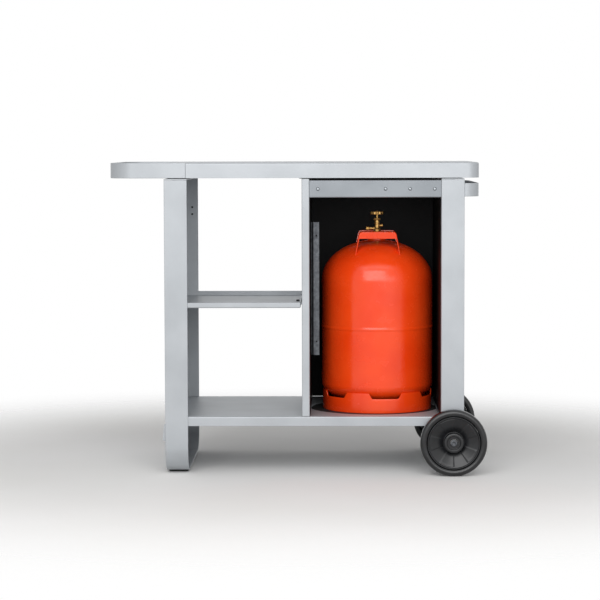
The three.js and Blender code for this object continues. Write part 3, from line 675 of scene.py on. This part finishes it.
def makeShelf():
    low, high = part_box("lower_shelf")
    matLow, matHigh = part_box("bottle_mat")
    steps = 8
    profile = []
    for n in range(steps + 1):
        t = n / steps
        drop = shelf["depth"] * (0.5 - 0.5 * math.cos(math.pi * t))
        profile.append((shelf["recess"] + shelf["slope"] * (1 - t), drop))
    dish = {"centre": (matLow + matHigh) / 2, "profile": profile, "sides": 96}
    outlineAt = squareOutline(low, high, shelf["corner"])
    bm = pan(outlineAt, high.z, low.z, shelf["sheet"], shelf["fold"], dish)
    makePiece(bm, "stand", "silver_coat", "lower_shelf", edge=shelf["edge"])


# Round grooves run one inside the other on its top.
mat = {"first": 0.010, "pitch": 0.020, "groove": 0.0024, "depth": 0.0004, "edge": 0.0006}


def makeMat():
    low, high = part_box("bottle_mat")
    centre = (low + high) / 2
    radius, edge, groove = (high.x - low.x) / 2, mat["edge"], mat["groove"]
    profile = [(0, low.z), (radius - edge, low.z), (radius, low.z + edge), (radius - edge, high.z)]
    ring = radius - mat["first"]
    while ring > mat["pitch"]:
        profile += [(ring, high.z), (ring - groove / 2, high.z - mat["depth"]), (ring - groove, high.z)]
        ring -= mat["pitch"]
    profile.append((0, high.z))
    bm = turned(profile, 96, "z", (centre.x, centre.y, 0))
    makePiece(bm, "stand", "black_rubber", "bottle_mat", edge=0, smooth=30)


tray = {"sheet": 0.0015, "fold": 0.003, "corner": 0.0034}


def makeTray():
    low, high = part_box("middle_tray")
    outlineAt = squareOutline(low, high, tray["corner"])
    bm = pan(outlineAt, low.z, high.z, tray["sheet"], tray["fold"])
    makePiece(bm, "stand", "silver_coat", "middle_tray")


bumper = {"taper": 0.8, "foot": 0.0003, "crown": 0.0016}


def makeBumper():
    low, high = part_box("tray_bumper")
    centre, radius = (low + high) / 2, (high.x - low.x) / 2
    corners = [(0, low.z), (radius, low.z), (radius * bumper["taper"], high.z), (0, high.z)]
    profile = roundCorners(corners, [0, bumper["foot"], bumper["crown"], 0], steps=5)
    bm = turned(profile, 32, "z", (centre.x, centre.y, 0))
    makePiece(bm, "stand", "black_rubber", "tray_bumper", edge=0)


makeShelf()
makeMat()
makeTray()
makeBumper()
print("shelves made")


divider = {"sheet": 0.0015, "lip": 0.010, "fold": 0.0022, "edge": 0.0003}


def makeDivider():
    low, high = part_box("divider")
    path = [
        (high.x, low.y + divider["lip"]), (high.x, low.y), (low.x, low.y),
        (low.x, high.y), (high.x, high.y), (high.x, high.y - divider["lip"]),
    ]
    bm = prism(foldedSheet(path, divider["fold"], -divider["sheet"]), "z", low.z, high.z)
    makePiece(bm, "stand", "silver_coat", "divider", name="dividerPanel", edge=divider["edge"])


rail = {"sheet": 0.002, "fold": 0.0028, "edge": 0.0003}


def makeCrossRail():
    low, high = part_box("cross_rail")
    path = [(high.y, high.z), (low.y, high.z), (low.y, low.z), (high.y, low.z)]
    bm = prism(foldedSheet(path, rail["fold"], rail["sheet"]), "x", low.x, high.x)
    makePiece(bm, "stand", "grey_coat", "cross_rail", edge=rail["edge"])


bracket = {
    "sheet": 0.002, "fold": 0.0028, "edge": 0.0003, "face": 0.017, "step": 0.015,
    "hole": 0.0022, "holeX": 0.010, "holeZ": 0.036,
}


def makeBracket():
    low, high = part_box("divider_bracket")
    sheet, face, bend = bracket["sheet"], high.x - bracket["face"], low.y + bracket["step"]
    path = [(high.x, low.y), (face, low.y), (face, bend), (low.x, bend), (low.x, high.y)]
    drills = []
    for z in (low.z + bracket["holeZ"], high.z - bracket["holeZ"]):
        profile = oblong(0, low.y - sheet, bracket["hole"], low.y + 2 * sheet)
        drills.append(turned(profile, 24, "y", (face + bracket["holeX"], 0, z)))
    bm = prism(foldedSheet(path, bracket["fold"], -sheet), "z", low.z, high.z)
    makePiece(bm, "stand", "galvanised_steel", "divider_bracket", edge=bracket["edge"], drills=drills)


sideRail = {"sheet": 0.003, "bend": 0.035, "edge": 0.0011}


def makeSideRail():
    low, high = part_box("side_rail")
    path = [(low.x, low.y), (high.x, low.y), (high.x, high.y), (low.x, high.y)]
    outline = foldedSheet(path, sideRail["bend"], sideRail["sheet"], steps=16)
    bm = prism(outline, "z", low.z, high.z)
    makePiece(bm, "stand", "silver_coat", "side_rail", edge=sideRail["edge"])


makeDivider()
makeCrossRail()
makeBracket()
makeSideRail()
for node in ("cabinet_back", "cabinet_liner_left", "cabinet_liner_right"):
    makePlate(node, "black_coat")
print("cabinet made")


screw = {
    "head": 0.0045, "rise": 0.0026, "shank": 0.0025, "length": 0.012,
    "rim": 0.35, "crown": 0.62, "slotFloor": 0.3,  # shares of the rise and the head
    "slotWidth": 0.0009, "slotLength": 0.0048,
    "bends": (0, 0.0003, 0, 0.0002, 0.0012, 0.0015, 0),
}


# A pan head with a cross recess. It faces along the axis, or against it where the sign is -1.
def makeScrew(node, axis, sign):
    low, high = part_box(node)
    index = "xyz".index(axis)
    head, rise = screw["head"], screw["rise"]
    top = high[index] if sign > 0 else low[index]
    seat = top - sign * rise
    place = (low + high) / 2
    place[index] = seat
    corners = [
        (0, -screw["length"]), (screw["shank"], -screw["length"]), (screw["shank"], 0), (head, 0),
        (head, rise * screw["rim"]), (head * screw["crown"], rise), (0, rise),
    ]
    bm = turned(roundCorners(corners, screw["bends"], steps=5), 32, axis, place, flip=sign < 0)
    floor, above = seat + sign * rise * screw["slotFloor"], top + sign * rise / 2
    length, width = screw["slotLength"] / 2, screw["slotWidth"] / 2
    across = [i for i in range(3) if i != index]
    drills = []
    for half in ((length, width), (width, length)):
        start, end = place.copy(), place.copy()
        for i, reach in zip(across, half):
            start[i] -= reach
            end[i] += reach
        start[index], end[index] = sorted((floor, above))
        drills.append(block(start, end))
    makePiece(bm, "stand", "zinc_plate", node, edge=0, drills=drills, smooth=35)


for number in (1, 2, 3, 4):
    makeScrew(f"rail_screw_{number}", "y", -1)
for row in ("front", "rear"):
    makeScrew(f"tray_screw_left_{row}", "x", 1)
    makeScrew(f"tray_screw_right_{row}", "x", -1)


axle = {"end": 0.0008, "washerGap": 0.0003, "washerEdge": 0.0004}

# The end bolt has a round head with a shallow socket.
bolt = {
    "socket": 0.0042, "socketDepth": 0.0026, "tip": 0.0012,
    "bends": (0, 0.0002, 0.0018, 0.0004, 0.0002, 0),
}


# A turned piece of the axle, about the middle of its node.
def makeTurnedNode(node, profile, slotName, name=None, closed=False, sign=1):
    low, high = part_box(node)
    bm = turned(profile, 48, "y", (low + high) / 2, closed=closed, flip=sign < 0)
    makePiece(bm, "stand", slotName, node, name=name, edge=0, smooth=35)


def makeAxle():
    low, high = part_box("axle")
    radius, half = (high.z - low.z) / 2, (high.y - low.y) / 2
    rod = roundCorners(oblong(0, -half, radius, half), [0, axle["end"], axle["end"], 0], steps=3)
    makeTurnedNode("axle", rod, "zinc_plate", name="axleRod")
    for side in ("front", "rear"):
        low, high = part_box(f"axle_washer_{side}")
        half, outer = (high.y - low.y) / 2, (high.z - low.z) / 2
        ring = oblong(radius + axle["washerGap"], -half, outer, half)
        ring = roundCorners(ring, axle["washerEdge"], steps=3)
        makeTurnedNode(f"axle_washer_{side}", ring, "zinc_plate", closed=True)


def makeBolt(side, sign):
    low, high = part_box(f"axle_bolt_{side}")
    half, outer = (high.y - low.y) / 2, (high.z - low.z) / 2
    socket, floor = bolt["socket"], half - bolt["socketDepth"]
    corners = [
        (0, -half), (outer, -half), (outer, half),
        (socket, half), (socket, floor), (0, floor - bolt["tip"]),
    ]
    profile = roundCorners(corners, bolt["bends"], steps=5)
    makeTurnedNode(f"axle_bolt_{side}", profile, "galvanised_steel", sign=sign)


makeAxle()
makeBolt("front", -1)
makeBolt("rear", 1)
print("screws and axle made")


# A wheel is a moulded disc with raised fields round its dish, and a solid tyre.
wheel = {
    "half": 0.015, "wall": 0.004, "bore": 0.0096, "rearBoss": 0.026,
    "rim": 0.0687, "rimWall": 0.003, "rimHalf": 0.013, "rimEdge": 0.0012,
    "dish": 0.0652, "dishDepth": 0.018,
    "boss": 0.0265, "bossRise": 0.012, "bossHeight": 0.020, "recess": 0.0175, "recessDepth": 0.007,
    "fields": 5, "fieldAngle": 36, "fieldRise": 0.0014,
    "fieldStart": 0.0290, "fieldEnd": 0.0622, "fieldEdge": 0.0006,
    "backBends": (0.0004, 0.001, 0, 0, 0, 0.0006, 0.0006),
    "faceBends": (0.0008, 0.0008, 0.0024),
    "hubBends": (0.0011, 0.0042, 0.0022, 0.0014, 0.0004),
    "sides": 240,
}
tyre = {"gap": 0.0003, "radius": 0.0875, "shoulder": 0.009, "sides": 128}
bush = {"bore": 0.0063, "edge": 0.0004, "sides": 48}


# Height of the dish at a radius, from the wheel's middle plane.
def dishHeight(radius):
    w = wheel
    slope = w["dishDepth"] / (w["dish"] - w["boss"])
    return w["bossRise"] - w["bossHeight"] + slope * (radius - w["boss"])


# Lifts the points of the dish that lie in a field, with a short slope along its edges.
def raiseFields(bm, centre, sign):
    w = wheel
    pitch = 360 / w["fields"]
    for vert in bm.verts:
        away = vert.co - centre
        radius = math.hypot(away.x, away.z)
        if abs(sign * away.y - dishHeight(radius)) > near:
            continue
        angle = math.degrees(math.atan2(away.z, sign * away.x))
        turn = abs((angle + pitch / 2) % pitch - pitch / 2)
        inside = min(
            radius - w["fieldStart"], w["fieldEnd"] - radius,
            math.radians(w["fieldAngle"] / 2 - turn) * radius,
        )
        t = min(max(inside / w["fieldEdge"] / 2 + 0.5, 0), 1)
        vert.co.y += sign * w["fieldRise"] * t * t * (3 - 2 * t)


def makeWheel(side, sign):
    low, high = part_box(f"tyre_{side}")
    centre = (low + high) / 2
    w = wheel
    floor = w["bossRise"] - w["bossHeight"]
    edge = floor + w["dishDepth"]
    cap = w["bossRise"] - w["recessDepth"]
    back = [
        (w["bore"], -w["half"]), (w["rearBoss"], -w["half"]), (w["rearBoss"], floor - w["wall"]),
        (w["dish"], edge - w["wall"]), (w["rim"] - w["rimWall"], edge - w["wall"]),
        (w["rim"] - w["rimWall"], -w["rimHalf"]), (w["rim"], -w["rimHalf"]),
    ]
    face = [(w["rim"], w["rimHalf"]), (w["dish"] + w["rimEdge"], w["rimHalf"]), (w["dish"], edge)]
    start, end, ease = w["fieldStart"], w["fieldEnd"], w["fieldEdge"]
    reaches = [end + ease, end, end - ease]
    reaches += [end + (start - end) * n / 5 for n in range(1, 5)]
    reaches += [start + ease, start, start - ease]
    dish = [(reach, dishHeight(reach)) for reach in reaches]
    hub = [
        (w["boss"], floor), (w["boss"], w["bossRise"]), (w["recess"], w["bossRise"]),
        (w["recess"], cap), (w["bore"], cap),
    ]
    bends = [*w["backBends"], *w["faceBends"], *[0] * len(dish), *w["hubBends"]]
    profile = roundCorners(back + face + dish + hub, bends, steps=5)
    bm = turned(profile, w["sides"], "y", centre, closed=True, flip=sign < 0)
    raiseFields(bm, centre, sign)
    makePiece(bm, f"{side}_wheel", "grey_plastic", f"wheel_{side}", edge=0, smooth=60)


def makeTyre(side, sign):
    low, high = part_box(f"tyre_{side}")
    half = wheel["half"]
    section = oblong(wheel["rim"] + tyre["gap"], -half, tyre["radius"], half)
    profile = roundCorners(section, tyre["shoulder"], steps=12)
    bm = turned(profile, tyre["sides"], "y", (low + high) / 2, closed=True, flip=sign < 0)
    makePiece(bm, f"{side}_wheel", "tyre_rubber", f"tyre_{side}", edge=0, smooth=50)


def makeBush(side):
    low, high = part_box(f"wheel_bush_{side}")
    half, outer = (high.y - low.y) / 2, (high.z - low.z) / 2
    ring = roundCorners(oblong(bush["bore"], -half, outer, half), bush["edge"], steps=3)
    bm = turned(ring, bush["sides"], "y", (low + high) / 2, closed=True)
    makePiece(bm, f"{side}_wheel", "white_plastic", f"wheel_bush_{side}", edge=0)


for side, sign in (("front", -1), ("rear", 1)):
    makeWheel(side, sign)
    makeTyre(side, sign)
    makeBush(side)
print("wheels made")


bottle = {
    "radius": 0.150, "wall": 0.003, "neck": 0.015, "sides": 128,
    "lowHead": 0.060, "lowRise": 0.070, "topHead": 0.108, "topRise": 0.349,
    "bead": 0.223, "beadWidth": 0.012, "beadHeight": 0.0012, "beadPower": 1.5,
    "undercut": 0.0005,  # along the bead's lower edge
}
shellLow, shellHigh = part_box("bottle_shell")
bottleX = (shellLow.x + shellHigh.x) / 2
bottleY = (shellLow.y + shellHigh.y) / 2
bottleAxis = Vector((bottleX, bottleY, 0))
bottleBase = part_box("bottle_foot_ring")[0].z
headTop = bottleBase + bottle["topRise"] + bottle["topHead"]


# The profile of a domed end, from its edge in to a radius. The way is 1 for upwards, -1 for downwards.
def headPoints(radius, height, edge, way, toRadius, steps):
    last = math.acos(toRadius / radius)
    points = []
    for n in range(steps + 1):
        angle = last * n / steps
        points.append((radius * math.cos(angle), edge + way * height * math.sin(angle)))
    return points


# The round weld, as a bead on the shell.
def beadPoints():
    b = bottle
    steps, share = 12, 1 / 6
    points = []
    for n in range(steps + 1):
        t = n / steps
        rise = b["beadHeight"] * math.sin(math.pi * t) ** b["beadPower"]
        if t < share:
            rise -= b["undercut"] * math.sin(2 * math.pi * t / share)
        points.append((b["radius"] + rise, b["bead"] + b["beadWidth"] * (t - 0.5)))
    return points


def makeShell():
    b = bottle
    low = headPoints(b["radius"], b["lowHead"], b["lowRise"], -1, 0, 20)
    high = headPoints(b["radius"], b["topHead"], b["topRise"], 1, b["neck"], 32)
    within = headPoints(b["radius"] - b["wall"], b["topHead"] - b["wall"], b["topRise"], 1, b["neck"], 12)
    under = headPoints(b["radius"] - b["wall"], b["lowHead"] - b["wall"], b["lowRise"], -1, 0, 8)
    profile = list(reversed(low)) + beadPoints() + high + list(reversed(within)) + under
    bm = turned(profile, b["sides"], "z", (bottleX, bottleY, bottleBase))
    makePiece(bm, "gas_bottle", "orange_paint", "bottle_shell", edge=0)


footRing = {
    "wall": 0.003, "edge": 0.0009, "foot": 0.0012, "footEdge": 0.0008, "sides": 144,
    "levels": (0.35, 0.6),  # shares of the height that have a row of points
    "cuts": 6, "cutDepth": 0.015, "cutWidth": 0.089, "cutTaper": 0.009, "cutTurn": 8, "cutEase": 0.002,
}


# A rolled ring: its top edge dips into six wedge cuts.
def makeFootRing():
    low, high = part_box("bottle_foot_ring")
    r = footRing
    outer, height = (high.x - low.x) / 2, high.z - low.z
    inner, edge = outer - r["wall"], r["edge"]
    wide, narrow = r["cutWidth"] / 2, r["cutWidth"] / 2 - r["cutTaper"]
    angles = set(2 * math.pi * n / r["sides"] for n in range(r["sides"]))
    middles = [math.radians(r["cutTurn"] - 90 + 360 * n / r["cuts"]) for n in range(r["cuts"])]
    for middle in middles:
        for reach in (wide, narrow, wide - r["cutEase"], narrow + r["cutEase"]):
            for sign in (-1, 1):
                angles.add((middle + sign * math.asin(reach / outer)) % (2 * math.pi))
    bm = bmesh.new()
    columns = []
    for angle in sorted(angles):
        top = height
        for middle in middles:
            away = abs(math.sin(angle - middle)) * outer
            if math.cos(angle - middle) > 0 and away < wide:
                top -= r["cutDepth"] * min(1, (wide - away) / r["cutTaper"])
        section = [
            (outer, r["foot"]), *((outer, height * level) for level in r["levels"]),
            (outer, top - edge), (outer - edge, top), (inner + edge, top), (inner, top - edge),
            (inner, r["foot"]), (inner + r["footEdge"], 0), (outer - r["footEdge"], 0),
        ]
        column = []
        for radius, rise in section:
            x, y = bottleX + radius * math.cos(angle), bottleY + radius * math.sin(angle)
            column.append(bm.verts.new((x, y, bottleBase + rise)))
        columns.append(column)
    for i in range(len(columns)):
        joinLoops(bm, columns[i - 1], columns[i])
    bmesh.ops.recalc_face_normals(bm, faces=bm.faces)
    makePiece(bm, "gas_bottle", "orange_paint", "bottle_foot_ring", edge=0, smooth=50)


collar = {"radius": 0.024, "bore": 0.0103, "sink": 0.001, "bends": (0.0003, 0.001, 0.003, 0.001)}


def makeCollar():
    low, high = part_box("bottle_neck_collar")
    section = oblong(collar["bore"], low.z - collar["sink"], collar["radius"], high.z)
    profile = roundCorners(section, collar["bends"], steps=5)
    bm = turned(profile, 64, "z", bottleAxis, closed=True)
    makePiece(bm, "gas_bottle", "orange_paint", "bottle_neck_collar", edge=0)


bow = {
    "top": 0.098, "foot": 0.120, "height": 0.057, "depth": 0.020,
    "sheet": 0.003, "bend": 0.0095, "fold": 0.0022, "edge": 0.0007,
    "flange": 0.018,  # of the grip's outer edge, folded down
    "tilt": 6,  # degrees outwards
    "place": 0.088,  # from the bottle's axis
    "drop": 0.032,  # of the foot under the head's top
    "rearDrop": 0.004,  # of the rear bow's grip under the front one's
    "sink": 0.012,  # of the legs into the head
}


# A strip bent into a carrying bow and welded to the head. The outer edge of its grip is folded down.
def makeBow(node, sign, drop):
    b = bow
    sheet, sink = b["sheet"], b["sink"]
    height = b["height"] - drop
    foot, top, half = b["foot"] / 2, b["top"] / 2, b["depth"] / 2
    lean = (foot - top) / height * sink
    path = [(-foot - lean, -sink), (-top, height), (top, height), (foot + lean, -sink)]
    outer = roundCorners(path, b["bend"], closed=False, steps=10)
    inner = offsetPath(outer, -sheet)
    inner[0] += (inner[0] - inner[1]).normalized() * sink
    inner[-1] += (inner[-1] - inner[-2]).normalized() * sink
    t = (height - b["flange"] - inner[0].y) / (inner[1].y - inner[0].y)
    window = [inner[0], inner[0].lerp(inner[1], t), inner[-1].lerp(inner[-2], t), inner[-1]]
    arch = prism(outer, "y", -half, half)
    front = []
    for edge in arch.edges:
        if all(vert.co.y < near - half for vert in edge.verts):
            if not all(vert.co.z < near - sink for vert in edge.verts):
                front.append(edge)
    bmesh.ops.bevel(arch, geom=front, offset=b["fold"], segments=4, profile=0.5, affect="EDGES")
    hollow = prism(inner, "y", sheet - half, half + sheet)
    opening = prism(window, "y", -half - sheet, sheet * 2 - half)
    tilt = Matrix.Rotation(math.radians(b["tilt"]), 4, "X")
    move = Matrix.Translation((0, -b["place"], headTop - b["drop"]))
    turn = Matrix.Rotation(0 if sign < 0 else math.pi, 4, "Z")
    for bm in (arch, hollow, opening):
        bm.transform(Matrix.Translation(bottleAxis) @ turn @ move @ tilt)
    makePiece(arch, "gas_bottle", "orange_paint", node, edge=b["edge"], drills=[hollow, opening])


makeShell()
makeFootRing()
makeCollar()
makeBow("carry_bow_front", -1, 0)
makeBow("carry_bow_rear", 1, bow["rearDrop"])
print("bottle made")


valve = {
    "stem": 0.010, "base": 0.005, "shoulder": 0.027, "taper": 0.005, "body": 0.007, "top": 0.052,
    "ring": 0.042, "ringSlope": 0.001, "ringWidth": 0.003, "ringRise": 0.0012,
    "bore": 0.0033, "boreDepth": 0.0083, "outletRise": 0.030, "outlet": 0.004, "outletReach": 0.021,
    "reliefRise": 0.038, "relief": 0.0035, "reliefReach": 0.008,
    "bends": (0, 0.0005, 0.0012, 0.0012, 0.0003, 0.0003, 0.0003, 0.0003, 0.0008, 0.0003, 0, 0),
}


def makeValve():
    v = valve
    place = Vector((bottleX, bottleY, headTop))
    body, bore, floor = v["body"], v["bore"], v["top"] - v["boreDepth"]
    wide, start, slope = body + v["ringRise"], v["ring"], v["ringSlope"]
    end = start + slope + v["ringWidth"]
    corners = [
        (0, -v["base"]), (v["stem"], -v["base"]), (v["stem"], v["shoulder"]),
        (body, v["shoulder"] + v["taper"]),
        (body, start), (wide, start + slope), (wide, end), (body, end + slope),
        (body, v["top"]), (bore, v["top"]), (bore, floor), (0, floor),
    ]
    stem = turned(roundCorners(corners, v["bends"], steps=4), 48, "z", place)
    pipe = oblong(0, 0, v["outlet"], v["outletReach"])
    outlet = turned(pipe, 32, "x", place + Vector((0, 0, v["outletRise"])), flip=True)
    stub = oblong(0, 0, v["relief"], v["reliefReach"])
    relief = turned(stub, 32, "x", place + Vector((0, 0, v["reliefRise"])))
    makePiece(joinMeshes(stem, outlet, relief), "gas_bottle", "brass", "valve_body", edge=0, smooth=35)


nutEdge = 0.0009


# A six-sided nut with rounded edges. Its widest size is across the corners.
def makeNut(node, axis):
    low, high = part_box(node)
    index = "xyz".index(axis)
    half = (high[index] - low[index]) / 2
    radius = max(high[n] - low[n] for n in range(3) if n != index) / 2
    bm = prism(circle(radius, 6, turn=math.pi / 6), axis, -half, half)
    bm.transform(Matrix.Translation((low + high) / 2))
    makePiece(bm, "gas_bottle", "brass", node, edge=nutEdge)


handwheel = {
    "radius": 0.019, "lobes": 12, "notch": 0.0018, "notchPower": 1.6, "sides": 120, "edge": 0.0012,
    "under": 0.0012, "over": 0.0006,  # that the hub stands out below and above the rim
    "hub": 0.0075, "dimple": 0.0042, "dimpleFloor": 0.0038, "dimpleDepth": 0.001,
    "hubBends": (0, 0.0006, 0.0008, 0, 0, 0), "spindleBends": (0, 0.0004, 0.0006, 0),
}


def makeHandwheel():
    low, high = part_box("handwheel")
    h = handwheel
    outline = []
    for n in range(h["sides"]):
        angle = 2 * math.pi * n / h["sides"]
        wave = (0.5 - 0.5 * math.cos(h["lobes"] * angle)) ** h["notchPower"]
        radius = h["radius"] - h["notch"] * wave
        outline.append((bottleX + radius * math.cos(angle), bottleY + radius * math.sin(angle)))
    rim = prism(outline, "z", low.z + h["under"], high.z - h["over"])
    floor = high.z - h["dimpleDepth"]
    corners = [
        (0, low.z), (h["hub"], low.z), (h["hub"], high.z),
        (h["dimple"], high.z), (h["dimpleFloor"], floor), (0, floor),
    ]
    hub = turned(roundCorners(corners, h["hubBends"], steps=4), 48, "z", bottleAxis)
    bm = joinMeshes(rim, hub)
    makePiece(bm, "valve_handwheel", "brass", "handwheel", name="valveHandwheel", edge=h["edge"])


def makeSpindle():
    low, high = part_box("valve_spindle")
    rod = oblong(0, low.z, (high.x - low.x) / 2, high.z)
    profile = roundCorners(rod, handwheel["spindleBends"], steps=4)
    bm = turned(profile, 32, "z", bottleAxis)
    makePiece(bm, "valve_handwheel", "brass", "valve_spindle", edge=0)


makeValve()
makeNut("outlet_nut", "x")
makeNut("relief_cap", "x")
makeNut("valve_bonnet", "z")
makeHandwheel()
makeSpindle()
print("valve made")


# The floor's two tones, and how far from the middle it is solid and where it has faded out.
studio = {
    "low": "#f4f3f1", "high": "#f7f6f5", "patch": 0.6,
    "size": 14.0, "clear": 0.7, "fade": 1.9, "world": 0.41,
}


# A pale matt floor that fades into the white behind it.
def makeFloor():
    bm = bmesh.new()
    bmesh.ops.create_grid(bm, x_segments=8, y_segments=8, size=studio["size"] / 2)
    floor = linkMesh("floor", bm)
    material, tree, where = startMaterial("paintedFloor")
    paint = addNode(tree, "ShaderNodeBsdfPrincipled", {
        "Base Color": driftingTone(tree, where, studio), "Roughness": 0.8, "Specular IOR Level": 0.1,
    })
    away = addNode(tree, "ShaderNodeVectorMath", {0: where}, operation="LENGTH")
    fade = addNode(tree, "ShaderNodeMapRange", {
        "Value": away.outputs["Value"], "From Min": studio["clear"], "From Max": studio["fade"],
    }, interpolation_type="SMOOTHSTEP")
    nothing = addNode(tree, "ShaderNodeBsdfTransparent")
    mix = addNode(tree, "ShaderNodeMixShader", {
        "Fac": fade.outputs["Result"], 1: paint.outputs["BSDF"], 2: nothing.outputs["BSDF"],
    })
    addNode(tree, "ShaderNodeOutputMaterial", {"Surface": mix.outputs["Shader"]})
    floor.data.materials.append(material)


# White where it is seen, mirrored or looked through, and a soft grey as light.
def makeWorld():
    world = bpy.data.worlds.new("studio")
    bpy.context.scene.world = world
    world.use_nodes = True
    tree = world.node_tree
    tree.nodes.clear()
    path = addNode(tree, "ShaderNodeLightPath")
    seen = addNode(tree, "ShaderNodeMath", {
        0: path.outputs["Is Camera Ray"], 1: path.outputs["Is Glossy Ray"],
    }, operation="MAXIMUM")
    shown = addNode(tree, "ShaderNodeMath", {
        0: seen.outputs["Value"], 1: path.outputs["Is Transmission Ray"],
    }, operation="MAXIMUM")
    back = addNode(tree, "ShaderNodeBackground", {
        "Color": (1, 1, 1, 1), "Strength": addRange(tree, shown.outputs["Value"], (studio["world"], 1)),
    })
    addNode(tree, "ShaderNodeOutputWorld", {"Surface": back.outputs["Background"]})


# Azimuth 0 is straight in front and grows towards +X. All lamps face the middle of the stand.
lamps = {
    "key": {"azimuth": -3, "rise": 24, "distance": 3.6, "size": (2.8, 2.5), "radiance": 3.4},
    "top": {"azimuth": 0, "rise": 54, "distance": 3.2, "size": (3.2, 0.45), "radiance": 1.5},
    "fill": {"azimuth": 26, "rise": 10, "distance": 3.6, "size": (1.4, 1.2), "radiance": 2.0},
}
lampAim = Vector((0, 0, 0.4))


def makeLamp(name):
    lamp = lamps[name]
    azimuth, rise = math.radians(lamp["azimuth"]), math.radians(lamp["rise"])
    way = Vector((math.sin(azimuth) * math.cos(rise), -math.cos(azimuth) * math.cos(rise), math.sin(rise)))
    data = bpy.data.lights.new(name, "AREA")
    data.shape = "RECTANGLE"
    data.size, data.size_y = lamp["size"]
    data.energy = lamp["radiance"] * math.pi * data.size * data.size_y
    light = bpy.data.objects.new(name, data)
    place = lampAim + way * lamp["distance"]
    light.matrix_world = Matrix.Translation(place) @ way.to_track_quat("Z", "Y").to_matrix().to_4x4()
    bpy.context.scene.collection.objects.link(light)


makeFloor()
makeWorld()
for name in lamps:
    makeLamp(name)
bpy.context.scene.view_settings.view_transform = "Standard"
print("studio made")
